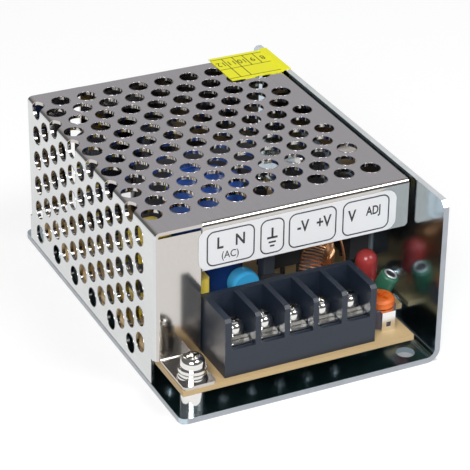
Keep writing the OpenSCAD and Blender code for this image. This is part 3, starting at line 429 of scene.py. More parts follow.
class Maker:
    """Makes meshes and hangs each on a body of the frame."""

    @staticmethod
    def mesh(name: str, points: Sequence[Vector], faces: Sequence[Sequence[int]], finish: Finish,
             body: str, slot: str, smooth: bool = True) -> bpy.types.Object:
        """Make a piece from points and faces.

        Args:
            name: Name of the piece.
            points: Its points, in metres.
            faces: Its faces, as indexes into the points.
            finish: Its finish.
            body: The body that it rides on.
            slot: Not used.
            smooth: Whether its faces are shaded smooth.

        Returns:
            The finished object.
        """
        data = bpy.data.meshes.new(name)
        data.from_pydata([tuple(p) for p in points], [], [tuple(f) for f in faces])
        data.validate()
        shape = bmesh.new()
        shape.from_mesh(data)
        bmesh.ops.recalc_face_normals(shape, faces=shape.faces)
        shape.to_mesh(data)
        shape.free()
        for polygon in data.polygons:
            polygon.use_smooth = smooth
        data.materials.append(finish.material())
        thing = bpy.data.objects.new(name, data)
        bpy.context.scene.collection.objects.link(thing)
        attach(thing, body)
        LOG.info("%s rides on %s", name, body)
        return thing

    @staticmethod
    def curve(stops: Sequence[Vector], steps: int = 8) -> list[Vector]:
        """Lay a smooth line through some points.

        Args:
            stops: The points that the line passes through.
            steps: Steps from each point to the next.

        Returns:
            The points of the line.
        """
        line = []
        for i in range(len(stops) - 1):
            a, b = stops[max(i - 1, 0)], stops[i]
            c, d = stops[i + 1], stops[min(i + 2, len(stops) - 1)]
            for k in range(steps):
                t = k / steps
                line.append(0.5 * (2 * b + (c - a) * t + (2 * a - 5 * b + 4 * c - d) * t ** 2
                                   + (3 * b - a - 3 * c + d) * t ** 3))
        return line + [stops[-1]]

    @staticmethod
    def tube(path: Sequence[Vector], radius: float, sides: int = 8, closed: bool = False
             ) -> tuple[list[Vector], list[list[int]]]:
        """Sweep a circle along a path without twisting it.

        Args:
            path: Points of the middle line.
            radius: Radius of the tube.
            sides: Corners of its section.
            closed: Whether the path joins its own start.

        Returns:
            The points and faces of the tube.
        """
        count = len(path)
        points: list[Vector] = []
        side = None
        for i, here in enumerate(path):
            before = path[i - 1] if i or closed else here
            after = path[(i + 1) % count] if i + 1 < count or closed else here
            along = (after - before).normalized()
            if side is None:
                side = along.orthogonal().normalized()
            side = (side - along * side.dot(along)).normalized()
            up = along.cross(side)
            for k in range(sides):
                turn = 2 * math.pi * k / sides
                points.append(here + radius * (math.cos(turn) * side + math.sin(turn) * up))
        faces: list[list[int]] = []
        for i in range(count if closed else count - 1):
            a, b = i * sides, (i + 1) % count * sides
            for k in range(sides):
                n = (k + 1) % sides
                faces.append([a + k, a + n, b + n, b + k])
        if not closed:
            faces.append(list(range(sides))[::-1])
            faces.append([(count - 1) * sides + k for k in range(sides)])
        return points, faces

    @staticmethod
    def lathe(outline: Sequence[tuple[float, float]], centre: Vector, sides: int = 32
              ) -> tuple[list[Vector], list[list[int]]]:
        """Turn an outline about the upright axis through a centre.

        Args:
            outline: Radius and height of each point, in metres, as a closed loop off the axis.
            centre: The point of the axis at height 0.
            sides: Steps round the axis.

        Returns:
            The points and faces of the ring.
        """
        n = len(outline)
        points = [centre + Vector((r * math.cos(t), r * math.sin(t), z))
                  for t in (2 * math.pi * k / sides for k in range(sides)) for r, z in outline]
        faces = [[k * n + i, k * n + (i + 1) % n, (k + 1) % sides * n + (i + 1) % n, (k + 1) % sides * n + i]
                 for k in range(sides) for i in range(n)]
        return points, faces

    @staticmethod
    def prism(outline: Sequence[Vector], rise: Vector) -> tuple[list[Vector], list[list[int]]]:
        """Raise a flat outline into a solid.

        Args:
            outline: The outline's points in order.
            rise: How far and which way it is raised.

        Returns:
            The points and faces of the solid.
        """
        n = len(outline)
        points = list(outline) + [p + rise for p in outline]
        faces = [list(range(n))[::-1], list(range(n, 2 * n))]
        faces += [[i, (i + 1) % n, n + (i + 1) % n, n + i] for i in range(n)]
        return points, faces

    @staticmethod
    def joined(parts: Iterable[tuple[list[Vector], list[list[int]]]]) -> tuple[list[Vector], list[list[int]]]:
        """Put several shapes into one."""
        points: list[Vector] = []
        faces: list[list[int]] = []
        for more, around in parts:
            faces += [[i + len(points) for i in face] for face in around]
            points += more
        return points, faces


@dataclass
class Plane:
    """A flat place to print on.

    Attributes:
        origin: The lower left corner of the print.
        across: Unit vector along the lines of print.
        upward: Unit vector up the print.
        film: How thick the ink stands.
    """

    origin: Vector
    across: Vector
    upward: Vector
    film: float = 0.00002

    @property
    def outward(self) -> Vector:
        """Unit vector off the surface."""
        return self.across.cross(self.upward)

    def at(self, u: float, v: float) -> Vector:
        """The point that lies u millimetres across and v up."""
        return self.origin + (self.across * u + self.upward * v) * MM

    def band(self, outer: Sequence[tuple[float, float]], inner: Sequence[tuple[float, float]]
             ) -> tuple[list[Vector], list[list[int]]]:
        """A flat band of ink between two outlines with the same number of points.

        Args:
            outer: Points of the outer outline, in millimetres.
            inner: Points of the inner outline.

        Returns:
            The points and faces of the band, with its thickness.
        """
        n = len(outer)
        low = [self.at(*p) for p in outer] + [self.at(*p) for p in inner]
        points = low + [p + self.outward * self.film for p in low]
        faces = []
        for i in range(n):
            j = (i + 1) % n
            faces.append([2 * n + i, 2 * n + j, 3 * n + j, 3 * n + i])
            faces.append([i, j, 2 * n + j, 2 * n + i])
            faces.append([n + i, n + j, 3 * n + j, 3 * n + i])
            faces.append([i, n + i, n + j, j])
        return points, faces

    def stroke(self, u0: float, v0: float, u1: float, v1: float) -> tuple[list[Vector], list[list[int]]]:
        """A filled rectangle of ink between two corners."""
        corners = [self.at(u0, v0), self.at(u1, v0), self.at(u1, v1), self.at(u0, v1)]
        return Maker.prism(corners, self.outward * self.film)

    def word(self, text: str, u: float, v: float, height: float, narrow: float = 0.8,
             bold: float = 0.0) -> tuple[list[Vector], list[list[int]]]:
        """Letters or numbers as a thin solid, centred on a point.

        Args:
            text: What to write.
            u: Middle of the word across the plane, in millimetres.
            v: Middle of its height.
            height: Height of its capitals.
            narrow: Width of the letters as a share of their usual width.
            bold: How far the strokes are thickened, as a share of the height.

        Returns:
            The points and faces of the letters.
        """
        curve = bpy.data.curves.new("word", "FONT")
        curve.body = text
        curve.align_x = "CENTER"
        curve.align_y = "CENTER"
        curve.offset = bold
        curve.extrude = 0.5
        curve.resolution_u = 4
        shown = bpy.data.objects.new("word", curve)
        bpy.context.scene.collection.objects.link(shown)
        bpy.context.view_layer.update()
        data = bpy.data.meshes.new_from_object(shown)
        tall = max(p.co.y for p in data.vertices) - min(p.co.y for p in data.vertices)
        middle = (max(p.co.y for p in data.vertices) + min(p.co.y for p in data.vertices)) / 2
        scale = height / tall
        points = [self.at(u + p.co.x * scale * narrow, v + (p.co.y - middle) * scale)
                  + self.outward * self.film * (p.co.z + 0.5) for p in data.vertices]
        faces = [list(p.vertices) for p in data.polygons]
        bpy.data.objects.remove(shown)
        bpy.data.meshes.remove(data)
        bpy.data.curves.remove(curve)
        return points, faces


def rounded(u0: float, v0: float, u1: float, v1: float, radius: float,
            steps: int = 8) -> list[tuple[float, float]]:
    """Outline of a rectangle with rounded corners.

    Args:
        u0: Left edge.
        v0: Lower edge.
        u1: Right edge.
        v1: Upper edge.
        radius: Radius of the corners.
        steps: Steps round each corner.

    Returns:
        The points, anticlockwise.
    """
    corners = ((u1 - radius, v0 + radius, -90), (u1 - radius, v1 - radius, 0),
               (u0 + radius, v1 - radius, 90), (u0 + radius, v0 + radius, 180))
    return [(cu + radius * math.cos(math.radians(start + 90 * k / steps)),
             cv + radius * math.sin(math.radians(start + 90 * k / steps)))
            for cu, cv, start in corners for k in range(steps + 1)]


# ------------------------------------------------------------------------- studio


@dataclass
class Studio:
    """The camera, the floor and the light.

    Attributes:
        eye: Place of the camera.
        forward: Where it looks.
        right: Its right-hand side, which gives its small roll.
        lens: Focal length in millimetres on a 36 mm sensor.
        sky: Strength of the even light from the front and the sides.
        glow: Strength of the pale sky behind the object, which the top sheet mirrors.
        open_floor: How strongly the open floor shows.
        painted_floor_shadow: How strongly the floor glows under the case, where its dimmed glow is a painted
            shadow.
    """

    eye: Vector = field(default_factory=lambda: Vector((-0.17291, -0.35956, 0.23324)))
    forward: Vector = field(default_factory=lambda: Vector((0.38517, 0.78786, -0.48055)))
    right: Vector = field(default_factory=lambda: Vector((0.90116, -0.43332, 0.01187)))
    lens: float = 164.47
    sky: float = 0.15
    glow: float = 0.46
    open_floor: float = 0.70
    painted_floor_shadow: float = 0.04

    def camera(self) -> None:
        """Put the camera in place and make it the scene's."""
        data = bpy.data.cameras.new("camera")
        data.lens = self.lens
        data.sensor_width = 36.0
        data.clip_start = 0.01
        thing = bpy.data.objects.new("camera", data)
        upward = self.right.cross(self.forward)
        turn = Matrix((self.right, upward, -self.forward)).transposed().to_4x4()
        thing.matrix_world = Matrix.Translation(self.eye) @ turn
        bpy.context.scene.collection.objects.link(thing)
        bpy.context.scene.camera = thing

    def floor(self) -> None:
        """Lay a pale floor that shows white and keeps a soft shadow, with a painted shadow where its glow is
        dimmed under the case.
        """
        data = bpy.data.meshes.new("floor")
        reach = 4.0
        data.from_pydata([(-reach, -reach, 0), (reach, -reach, 0), (reach, reach, 0), (-reach, reach, 0)],
                         [], [(0, 1, 2, 3)])
        material = bpy.data.materials.new("pale_floor")
        material.use_nodes = True
        tree = material.node_tree
        body = tree.nodes["Principled BSDF"]
        body.inputs["Base Color"].default_value = (0.36, 0.36, 0.36, 1.0)
        body.inputs["Roughness"].default_value = 0.9
        body.inputs["Specular IOR Level"].default_value = 0.1
        shine = tree.nodes.new("ShaderNodeEmission")
        shine.inputs["Color"].default_value = (1.0, 1.0, 1.0, 1.0)
        path = tree.nodes.new("ShaderNodeLightPath")
        seen = tree.nodes.new("ShaderNodeMath")
        seen.operation = "MAXIMUM"
        tree.links.new(path.outputs["Is Camera Ray"], seen.inputs[0])
        tree.links.new(path.outputs["Is Glossy Ray"], seen.inputs[1])
        through = tree.nodes.new("ShaderNodeMath")
        through.operation = "MAXIMUM"
        tree.links.new(seen.outputs[0], through.inputs[0])
        tree.links.new(path.outputs["Is Transmission Ray"], through.inputs[1])
        strength = tree.nodes.new("ShaderNodeMath")
        strength.operation = "MULTIPLY"
        tree.links.new(through.outputs[0], strength.inputs[0])
        tree.links.new(self._glow_with_painted_shadow(tree), strength.inputs[1])
        tree.links.new(strength.outputs[0], shine.inputs["Strength"])
        both = tree.nodes.new("ShaderNodeAddShader")
        tree.links.new(body.outputs[0], both.inputs[0])
        tree.links.new(shine.outputs[0], both.inputs[1])
        tree.links.new(both.outputs[0], tree.nodes["Material Output"].inputs["Surface"])
        data.materials.append(material)
        thing = bpy.data.objects.new("floor", data)
        bpy.context.scene.collection.objects.link(thing)

    def _glow_with_painted_shadow(self, tree: bpy.types.NodeTree) -> Socket:
        """How far the floor glows: fully in the open and hardly at all under the case, a painted shadow
        there.
        """
        low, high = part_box("base_chassis")
        shade = None
        for direction, distance in (((1.0, 0.0, 0.0), high.x), ((-1.0, 0.0, 0.0), -low.x),
                                    ((0.0, 1.0, 0.0), high.y), ((0.0, -1.0, 0.0), -low.y)):
            node = tree.nodes.new("ShaderNodeGroup")
            node.node_tree = Effects.get("region")
            node.inputs["Direction"].default_value = direction
            node.inputs["Distance"].default_value = distance - 0.001
            node.inputs["Softness"].default_value = 0.001
            if shade is None:
                shade = node.outputs["Mask"]
            else:
                most = tree.nodes.new("ShaderNodeMath")
                most.operation = "MAXIMUM"
                tree.links.new(shade, most.inputs[0])
                tree.links.new(node.outputs["Mask"], most.inputs[1])
                shade = most.outputs[0]
        # the glow is dimmed inside the case's footprint: a painted shadow on the floor
        level = tree.nodes.new("ShaderNodeMapRange")
        level.inputs["To Min"].default_value = self.painted_floor_shadow
        level.inputs["To Max"].default_value = self.open_floor
        tree.links.new(shade, level.inputs["Value"])
        return level.outputs[0]

    def light(self) -> None:
        """Light the object with two soft lamps under a low sky that is paler behind it."""
        world = bpy.data.worlds.new("studio")
        bpy.context.scene.world = world
        world.use_nodes = True
        tree = world.node_tree
        backdrop = tree.nodes["Background"]
        where = tree.nodes.new("ShaderNodeTexCoord")
        split = tree.nodes.new("ShaderNodeVectorMath")
        split.operation = "DOT_PRODUCT"
        split.inputs[1].default_value = (0.36, 0.74, 0.57)
        tree.links.new(where.outputs["Generated"], split.inputs[0])
        ramp = tree.nodes.new("ShaderNodeMapRange")
        ramp.interpolation_type = "SMOOTHSTEP"
        ramp.inputs["From Min"].default_value = 0.62
        ramp.inputs["From Max"].default_value = 0.93
        ramp.inputs["To Min"].default_value = self.sky
        ramp.inputs["To Max"].default_value = self.glow
        tree.links.new(split.outputs["Value"], ramp.inputs["Value"])
        tree.links.new(ramp.outputs[0], backdrop.inputs["Strength"])
        backdrop.inputs["Color"].default_value = (0.98, 0.98, 1.0, 1.0)
        self._lamp("key", Vector((-0.46, -0.66, 0.60)), 0.42, 7.4)
        self._lamp("fill", Vector((0.36, -0.46, 0.76)), 0.34, 3.4)

    @staticmethod
    def _lamp(name: str, place: Vector, side: float, power: float) -> None:
        """Hang a square soft lamp that faces the object."""
        data = bpy.data.lights.new(name, "AREA")
        data.size = side
        data.energy = power
        thing = bpy.data.objects.new(name, data)
        aim = (Vector((0, 0, 0.02)) - place).normalized()
        thing.matrix_world = Matrix.Translation(place) @ aim.to_track_quat("-Z", "Y").to_matrix().to_4x4()
        bpy.context.scene.collection.objects.link(thing)


# ------------------------------------------------------------------- sheet metal


@dataclass
class SheetCase:
    """The folded base and the perforated cover.

    Attributes:
        rim_wire: Radius of the rolled rim round a punched hole, in metres.
        vent_most: The widest that a vent hole is, in metres.
        near: How close to a face its edges lie, in metres.
    """

    rim_wire: float = 0.06 * MM
    vent_most: float = 5.0 * MM
    near: float = 0.002 * MM

    def dress(self) -> None:
        """Give the two sheets their coatings; the colours of the cover's top and left side hold painted light
        and shade.
        """
        low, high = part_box("base_chassis")
        zinc = RegionalFinish(
            "zinc_sheet", (0.52, 0.62, 0.68), Surface.SPANGLED, scale=420.0, contrast=0.10, metallic=1.0,
            roughness=0.17, uneven=0.05, relief=0.0000015,
            regions=(Region((0.0, 0.0, 1.0), high.z - 0.00008, (0.74, 0.77, 0.78), 0.5, 0.35),
                     Region((0.0, -1.0, 0.0), -low.y - 0.00008, (0.42, 0.45, 0.49), 0.45, 0.5),
                     Region((0.0, 1.0, 0.0), high.y - 0.00008, (0.42, 0.45, 0.49), 0.45, 0.5),
                     Region((-1.0, 0.0, 0.0), -low.x - 0.00008, (0.50, 0.53, 0.56), 0.45, 0.5)))
        low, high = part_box("perforated_cover")
        nickel = RegionalFinish(
            "nickel_sheet_painted_faces", (0.58, 0.55, 0.52), Surface.ROLLED, scale=1400.0, contrast=0.07, metallic=1.0,
            roughness=0.12, uneven=0.04, relief=0.0000008,
            # the top and the left side of the one nickel sheet are tinted apart: painted light and shade for
            # how light falls on each face
            regions=(Region((0.0, 0.0, 1.0), high.z - 0.00005, (0.66, 0.63, 0.65), 0.26),
                     Region((-1.0, 0.0, 0.0), -low.x - 0.00035, (0.66, 0.67, 0.67), 0.16)))
        self._rims(nickel)
        paint("base_chassis", zinc)
        paint("perforated_cover", nickel)

    def _rims(self, finish: Finish) -> None:
        """Lay a fine rounded rim along the edge of each hole in the top and the left side."""
        low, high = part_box("perforated_cover")
        shapes = []
        for axis, level in ((2, high.z), (0, low.x)):
            for loop in self._hole_edges(axis, level):
                shapes.append(Maker.tube(loop, self.rim_wire, sides=5, closed=True))
        points, faces = Maker.joined(shapes)
        Maker.mesh("vent_rims", points, faces, finish, "root", "cover_sheet")

    def _hole_edges(self, axis: int, level: float) -> list[list[Vector]]:
        """Find the edges of the holes in a flat face of the cover.

        Args:
            axis: The axis that the face lies across.
            level: Where the face lies along it, in metres.

        Returns:
            The points round each whole hole, in order.
        """
        shape = bmesh.new()
        shape.from_mesh(FRAME["nodes"]["perforated_cover"].data)
        bmesh.ops.remove_doubles(shape, verts=shape.verts, dist=self.near / 2)
        links: dict[int, list[int]] = {}
        places: dict[int, Vector] = {}
        for edge in shape.edges:
            ends = edge.verts
            if any(abs(v.co[axis] - level) > self.near for v in ends) or len(edge.link_faces) != 2:
                continue
            if sum(abs(f.normal[axis]) > 0.99 for f in edge.link_faces) == 1:
                for here, there in ((ends[0], ends[1]), (ends[1], ends[0])):
                    links.setdefault(here.index, []).append(there.index)
                    places[here.index] = here.co.copy()
        shape.free()
        loops = []
        left = {i for i, around in links.items() if len(around) == 2}
        while left:
            first = here = min(left)
            chain = [first]
            left.discard(first)
            while True:
                onward = [n for n in links[here] if n in left]
                if not onward:
                    break
                here = onward[0]
                left.discard(here)
                chain.append(here)
            whole = first in links[here] and len(chain) > 8
            if whole and max((places[a] - places[b]).length for a in chain for b in chain) < self.vent_most:
                loops.append([places[i] for i in chain])
        LOG.info("%d hole edges found across axis %d", len(loops), axis)
        return loops


def paint(node: str, finish: Finish) -> None:
    """Give a solid of the frame a finish.

    Args:
        node: Name of the solid.
        finish: Its finish.
    """
    data = FRAME["nodes"][node].data
    data.materials.clear()
    data.materials.append(finish.material())
    LOG.info("%s is finished in %s", node, finish.name)


# --------------------------------------------------------------------- fasteners


@dataclass
class Fasteners:
    """The screws, washers and standoffs."""

    chrome: Finish = Finish("plated_steel", (0.70, 0.68, 0.65), Surface.HANDLED, scale=260.0, contrast=0.12,
                            metallic=1.0, roughness=0.20, uneven=0.06, relief=0.000003)

    def dress(self) -> None:
        """Give every fastener its plating."""
        for node in ("board_screws", "cover_screw", "spring_washer", "flat_washer", "side_screws",
                     "device_screws", "board_standoffs"):
            paint(node, self.chrome)
        for i in range(1, 6):
            paint(f"clamp_plate_{i}", self.chrome)
            paint(f"terminal_screw_{i}", self.chrome)


# ----------------------------------------------------------------- terminal block


@dataclass
class TerminalBlock:
    """The moulded block with its contacts."""

    plastic: Finish = Finish("slate_plastic", (0.016, 0.024, 0.040), Surface.HANDLED, scale=500.0,
                             contrast=0.2, roughness=0.40, uneven=0.08, relief=0.000006)
    tinned: Finish = Finish("tinned_brass", (0.78, 0.77, 0.74), Surface.HANDLED, scale=300.0, contrast=0.12,
                            metallic=1.0, roughness=0.22, uneven=0.08, relief=0.000003)

    def dress(self) -> None:
        """Give the block and its contacts their finishes."""
        paint("terminal_block", self.plastic)
        paint("terminal_contacts", self.tinned)


# -------------------------------------------------------------------------- board


@dataclass
class Board:
    """The circuit board with its solder and the small parts that stand at the front.

    Attributes:
        red_above_painted_shade: How far below its tip the lamp's red lens gives way to painted shade, near
            black, on its lower body.
        painted_shade_fade: The height over which the red fades into that painted shade.
        contact_w: Width of a terminal's contact.
        pin_inset: From a contact's rear edge to its pin.
        lead_spread: The most that a component's leads stand from its middle.
        joint_h: Height of a solder joint.
        joint_r: Radius of a solder joint at the board.
    """

    red_above_painted_shade: float = 3.2 * MM
    painted_shade_fade: float = 2.2 * MM
    contact_w: float = 4.85 * MM
    pin_inset: float = 1.05 * MM
    lead_spread: float = 2.5 * MM
    joint_h: float = 0.7 * MM
    joint_r: float = 1.1 * MM
    solder: Finish = Finish("solder", (0.78, 0.78, 0.80), Surface.HANDLED, scale=400.0, contrast=0.15,
                            metallic=1.0, roughness=0.28, uneven=0.1, relief=0.00001)

    def dress(self) -> None:
        """Give the board and the parts at the front their finishes."""
        low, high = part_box("circuit_board")
        paint("circuit_board", RegionalFinish(
            "phenolic_board", (0.60, 0.43, 0.22), Surface.FIBROUS, scale=420.0, contrast=0.16,
            roughness=0.5, uneven=0.1, relief=0.00001,
            regions=(Region((0.0, 0.0, -1.0), -low.z - 0.00006, (0.03, 0.075, 0.070), 0.3, 0.0),)))
        paint("trimmer_body", Finish("trimmer_case", (0.028, 0.024, 0.036), Surface.HANDLED, roughness=0.32))
        paint("trimmer_clip", Finish("spring_strip", (0.86, 0.86, 0.86), Surface.ROLLED, scale=900.0,
                                     contrast=0.08, metallic=1.0, roughness=0.22))
        paint("trimmer_rotor", Finish("orange_plastic", (0.78, 0.16, 0.020), Surface.HANDLED, scale=700.0,
                                      contrast=0.18, roughness=0.42, relief=0.00001))
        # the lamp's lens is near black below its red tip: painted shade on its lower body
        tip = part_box("indicator_led")[1]
        paint("indicator_led", RegionalFinish(
            "red_lens", (0.010, 0.014, 0.014), Surface.HANDLED, roughness=0.16, uneven=0.03, coat=0.3,
            regions=(Region((0.0, 0.0, 1.0), tip.z - self.red_above_painted_shade, (0.10, 0.010, 0.012), 0.16, 0.0,
                            self.painted_shade_fade),)))
        paint("small_capacitor", Finish("green_sleeve", (0.006, 0.026, 0.016), Surface.HANDLED, scale=200.0,
                                        roughness=0.22, coat=0.3))
        self._can_top()
        self._joints(low)

    def _can_top(self) -> None:
        """Put the bright rolled rim and the dark disc on top of the leaning capacitor."""
        centre, along, radius = self._flat_top("small_capacitor")
        aluminium = Finish("can_top", (0.80, 0.80, 0.80), Surface.HANDLED, scale=500.0, contrast=0.1,
                           metallic=0.6, roughness=0.34)
        ring = self._circle(centre, along, 0.84 * radius)
        points, faces = Maker.tube(ring, 0.16 * radius, sides=10, closed=True)
        Maker.mesh("small_capacitor_rim", points, faces, aluminium, "root", "green_sleeve")
        dark = Finish("can_vent", (0.035, 0.037, 0.042), Surface.HANDLED, scale=500.0, roughness=0.4)
        disc = self._circle(centre + along * 0.01 * MM, along, 0.8 * radius)
        points, faces = Maker.prism(disc, along * 0.06 * MM)
        Maker.mesh("small_capacitor_disc", points, faces, dark, "root", "green_sleeve")

    @staticmethod
    def _circle(centre: Vector, along: Vector, radius: float, steps: int = 40) -> list[Vector]:
        """The points of a circle about a centre, across a direction."""
        side = along.orthogonal().normalized()
        turns = (2 * math.pi * k / steps for k in range(steps))
        return [centre + radius * (math.cos(t) * side + math.sin(t) * along.cross(side)) for t in turns]

    @staticmethod
    def _flat_top(node: str) -> tuple[Vector, Vector, float]:
        """Find the flat end of a can that stands or leans.

        Args:
            node: Name of the solid.

        Returns:
            The middle of the end, the direction that it faces and its radius.
        """
        data = FRAME["nodes"][node].data
        areas: dict[tuple[float, ...], float] = {}
        for face in data.polygons:
            key = tuple(round(v, 2) for v in face.normal)
            areas[key] = areas.get(key, 0.0) + face.area
        best = max((k for k in areas if k[2] > 0.5), key=lambda k: areas[k])
        faces = [f for f in data.polygons if tuple(round(v, 2) for v in f.normal) == best]
        along = sum((f.normal * f.area for f in faces), Vector()).normalized()
        highest = max(f.center.dot(along) for f in faces)
        rim = {i for f in faces if f.center.dot(along) > highest - 0.00002 for i in f.vertices}
        corners = [data.vertices[i].co for i in rim]
        centre = sum(corners, Vector()) / len(corners)
        return centre, along, max((c - centre).length for c in corners)

    def _joints(self, low: Vector) -> None:
        """Solder each contact pin and the leads of the larger parts under the board."""
        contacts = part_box("terminal_contacts")
        span = (contacts[1].x - contacts[0].x - self.contact_w) / 4
        pins = [(contacts[0].x + self.contact_w / 2 + i * span, contacts[1].y - self.pin_inset)
                for i in range(5)]
        for node in ("bulk_capacitor", "output_capacitors", "fuse", "x_capacitor", "y_capacitor"):
            a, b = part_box(node)
            middle = (a + b) / 2
            reach = min(self.lead_spread, (b.x - a.x) / 4)
            pins += [(middle.x - reach, middle.y), (middle.x + reach, middle.y)]
        tall, wide, axis = self.joint_h, self.joint_r, 0.01 * MM
        outline = [(axis, -1.3 * tall), (0.32 * wide, -1.2 * tall), (0.455 * wide, -0.7 * tall),
                   (0.68 * wide, -0.25 * tall), (wide, -0.03 * tall), (wide, 0.0), (axis, 0.0)]
        shapes = [Maker.lathe(outline, Vector((x, y, low.z)), 16) for x, y in pins]
        points, faces = Maker.joined(shapes)
        Maker.mesh("solder_joints", points, faces, self.solder, "root", "plated_steel")


# --------------------------------------------------------------------- components


@dataclass
class Components:
    """The parts on the board that show through the vents and under the strip.

    Attributes:
        lead_r: Radius of the choke's lead.
        lead_path: Where the lead runs, in millimetres from the core's front right corner and the board.
    """

    lead_r: float = 0.28 * MM
    lead_path: tuple[Color, ...] = ((-0.1, 2.8, 0.0), (-0.15, 2.8, 5.0), (-0.3, 2.8, 9.6),
                                    (-1.2, 2.8, 13.6), (-1.9, 3.6, 14.9), (-2.8, 5.2, 14.2))

    def dress(self) -> None:
        """Give each component its finish."""
        epoxy = Finish("black_epoxy", (0.018, 0.018, 0.020), Surface.HANDLED, scale=300.0, roughness=0.42,
                       relief=0.000008)
        ferrite = Finish("ferrite", (0.020, 0.020, 0.022), Surface.HANDLED, scale=700.0, contrast=0.3,
                         roughness=0.5, uneven=0.12, relief=0.00001)
        tape = Finish("yellow_tape", (0.80, 0.46, 0.03), Surface.WOUND, scale=420.0, contrast=0.2,
                      roughness=0.3, relief=0.00003)
        for node in ("fuse", "bridge_rectifier", "switching_transistor", "output_rectifier",
                     "controller_chip", "optocoupler"):
            paint(node, epoxy)
        for node in ("mains_choke_core", "transformer_core", "output_choke_core"):
            paint(node, ferrite)
        for node in ("mains_choke_winding", "transformer_winding"):
            paint(node, tape)
        paint("bulk_capacitor", Finish("blue_sleeve", (0.003, 0.040, 0.36), Surface.HANDLED, scale=160.0,
                                       contrast=0.25, roughness=0.34, coat=0.1))
        paint("output_capacitors", Finish("dark_sleeve", (0.012, 0.014, 0.024), Surface.HANDLED, scale=160.0,
                                          roughness=0.26, coat=0.3))
        paint("thermistor", Finish("green_dip", (0.012, 0.075, 0.030), Surface.HANDLED, scale=180.0,
                                   roughness=0.24, relief=0.00003, coat=0.3))
        paint("varistor", Finish("navy_dip", (0.006, 0.022, 0.11), Surface.HANDLED, scale=180.0,
                                 roughness=0.24, relief=0.00003, coat=0.3))
        paint("y_capacitor", Finish("blue_dip", (0.010, 0.24, 0.62), Surface.HANDLED, scale=180.0,
                                    roughness=0.2, relief=0.00004, coat=0.5))
        paint("x_capacitor", Finish("yellow_box", (0.76, 0.50, 0.035), Surface.HANDLED, scale=120.0,
                                    roughness=0.3))
        paint("standing_resistor", Finish("grey_ceramic", (0.10, 0.12, 0.15), Surface.HANDLED, scale=300.0,
                                          roughness=0.6, relief=0.00002))
        paint("transformer_bobbin", Finish("bobbin_plastic", (0.03, 0.03, 0.034), Surface.HANDLED,
                                           roughness=0.4))
        paint("insulating_pads", Finish("silicone_pad", (0.30, 0.36, 0.40), Surface.HANDLED, roughness=0.7))
        paint("chip_resistors", Finish("resistor_body", (0.42, 0.26, 0.12), Surface.WOUND, scale=900.0,
                                       contrast=0.4, roughness=0.35))
        self._choke()

    def _choke(self) -> None:
        """Finish the output choke's winding in copper and lead its end down to the board."""
        copper = Finish("copper_wire", (0.62, 0.20, 0.08), Surface.WOUND, scale=300.0, contrast=0.12,
                        metallic=1.0, roughness=0.22, coat=0.5)
        paint("output_choke_winding", copper)
        low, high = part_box("output_choke_core")
        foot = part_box("circuit_board")[1].z
        corner = Vector((high.x, low.y, foot))
        path = [corner + mm(*step) for step in self.lead_path]
        points, faces = Maker.tube(Maker.curve(path), self.lead_r, sides=10)
        Maker.mesh("choke_lead", points, faces, copper, "root", "copper_wire")


# ---------------------------------------------------------------- label and seal


@dataclass
class FrontLabel:
    """The printed label over the terminals.

    Attributes:
        line: Thickness of the frames, in millimetres.
        frames: Left and right edge of each frame, from the label's left edge.
        margin: Room under and over the frames.
    """

    line: float = 0.28
    frames: tuple[tuple[float, float], ...] = ((1.7, 12.1), (13.3, 18.6), (19.55, 30.2), (31.55, 42.2))
    margin: float = 0.6
    ink: Finish = Finish("black_ink", (0.028, 0.028, 0.032), Surface.HANDLED, scale=900.0, contrast=0.3,
                         roughness=0.45)
    film: Finish = Finish("label_film", (0.66, 0.68, 0.71), Surface.HANDLED, scale=120.0, contrast=0.05,
                          roughness=0.32, uneven=0.06, relief=0.000004)

    def build(self) -> None:
        """Print the frames and their letters."""
        paint("front_label", self.film)
        low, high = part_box("front_label")
        page = Plane(Vector((low.x, low.y, low.z)), Vector((1, 0, 0)), Vector((0, 0, 1)))
        top = (high.z - low.z) / MM - self.margin
        shapes = []
        for left, right in self.frames:
            outer = rounded(left, self.margin, right, top, 1.6)
            inner = rounded(left + self.line, self.margin + self.line, right - self.line, top - self.line,
                            1.6 - self.line)
            shapes.append(page.band(outer, inner))
        shapes += self._letters(page) + self._earth(page)
        points, faces = Maker.joined(shapes)
        Maker.mesh("label_print", points, faces, self.ink, "root", "label_film", smooth=False)

    def _letters(self, page: Plane) -> list[tuple[list[Vector], list[list[int]]]]:
        """The letters that name the terminals and the trimmer."""
        bold = 0.022
        return [page.word("L", 4.55, 5.5, 2.55, 0.84, bold), page.word("N", 8.95, 5.5, 2.55, 0.84, bold),
                page.word("(AC)", 6.8, 2.4, 2.1, 0.86, 0.006),
                page.word("-V", 22.7, 5.15, 2.6, 0.78, bold), page.word("+V", 27.3, 5.15, 2.6, 0.78, bold),
                page.word("V", 33.7, 4.95, 2.6, 0.78, bold), page.word("ADJ", 38.6, 4.95, 2.6, 0.74, bold)]

    @staticmethod
    def _earth(page: Plane) -> list[tuple[list[Vector], list[list[int]]]]:
        """The earth sign: a stem on three bars."""
        middle = 15.95
        bars = [(1.15, 3.9, 0.46), (0.8, 2.95, 0.38), (0.5, 2.1, 0.38)]
        shapes = [page.stroke(middle - 0.22, 4.2, middle + 0.22, 6.3)]
        for half, height, thick in bars:
            shapes.append(page.stroke(middle - half, height, middle + half, height + thick))
        return shapes


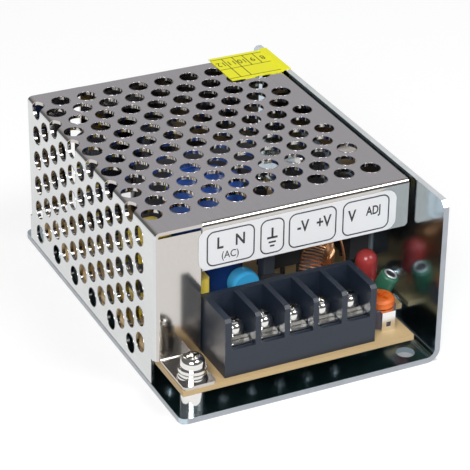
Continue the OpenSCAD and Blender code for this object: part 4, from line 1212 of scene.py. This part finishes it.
@dataclass
class Seal:
    """The yellow seal with its grid of numbers.

    Attributes:
        line: Thickness of the grid's lines, in millimetres.
        pitch: Width of a column.
        lap: From the wall's outer face to the flat part's edge.
        thick: From the cover to the top of the seal.
        numbers: What each column says and where its middle is.
    """

    line: float = 0.2
    pitch: float = 2.55
    lap: float = 1.8
    thick: float = 0.17
    numbers: tuple[tuple[str, float], ...] = (("8", 0.85), ("9", 3.4), ("10", 5.95), ("11", 8.5),
                                              ("12", 11.0))
    paper: Finish = Finish("yellow_paper", (0.93, 0.90, 0.012), Surface.HANDLED, scale=160.0, contrast=0.05,
                           roughness=0.5, relief=0.000006)
    ink: Finish = Finish("olive_ink", (0.10, 0.10, 0.004), Surface.HANDLED, scale=700.0, contrast=0.3,
                         roughness=0.5)

    def build(self) -> None:
        """Print the grid, its numbers reading from the rear."""
        paint("seal_sticker", self.paper)
        low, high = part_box("seal_sticker")
        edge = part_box("base_chassis")[1].x - self.lap * MM
        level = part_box("perforated_cover")[1].z + self.thick * MM
        # the seal's flat part lies on the cover, and its numbers are read from behind
        page = Plane(Vector((edge, high.y, level)), Vector((-1, 0, 0)), Vector((0, -1, 0)))
        width = (edge - low.x) / MM
        front, middle, rear = (high.y - low.y) / MM - 1.0, 6.6, 1.2
        shapes = [page.stroke(0, v - self.line, width, v) for v in (rear, middle, front)]
        columns = [self.pitch * i - 0.4 for i in range(1, 5)]
        for u in columns:
            shapes.append(page.stroke(u - self.line / 2, rear, u + self.line / 2, middle))
        for u in columns[2:]:
            shapes.append(page.stroke(u - self.line / 2, middle, u + self.line / 2, front))
        for number, u in self.numbers:
            shapes.append(page.word(number, u, (rear + middle) / 2, 2.0, 0.8))
        points, faces = Maker.joined(shapes)
        Maker.mesh("seal_print", points, faces, self.ink, "root", "seal_film", smooth=False)


# --------------------------------------------------------------------------- main

FRAME: dict = {}


def main() -> None:
    """Build the scene: camera and studio first, then each assembly in turn."""
    logging.basicConfig(level=logging.INFO, format="%(name)s: %(message)s")
    FRAME.update(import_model())
    bpy.context.scene.view_settings.view_transform = "Standard"
    studio = Studio()
    studio.camera()
    studio.floor()
    studio.light()
    steps: tuple[Callable[[], None], ...] = (
        SheetCase().dress, Fasteners().dress, TerminalBlock().dress, Board().dress, Components().dress,
        FrontLabel().build, Seal().build)
    for step in steps:
        step()
    bpy.context.view_layer.update()


if __name__ == "__main__":
    main()
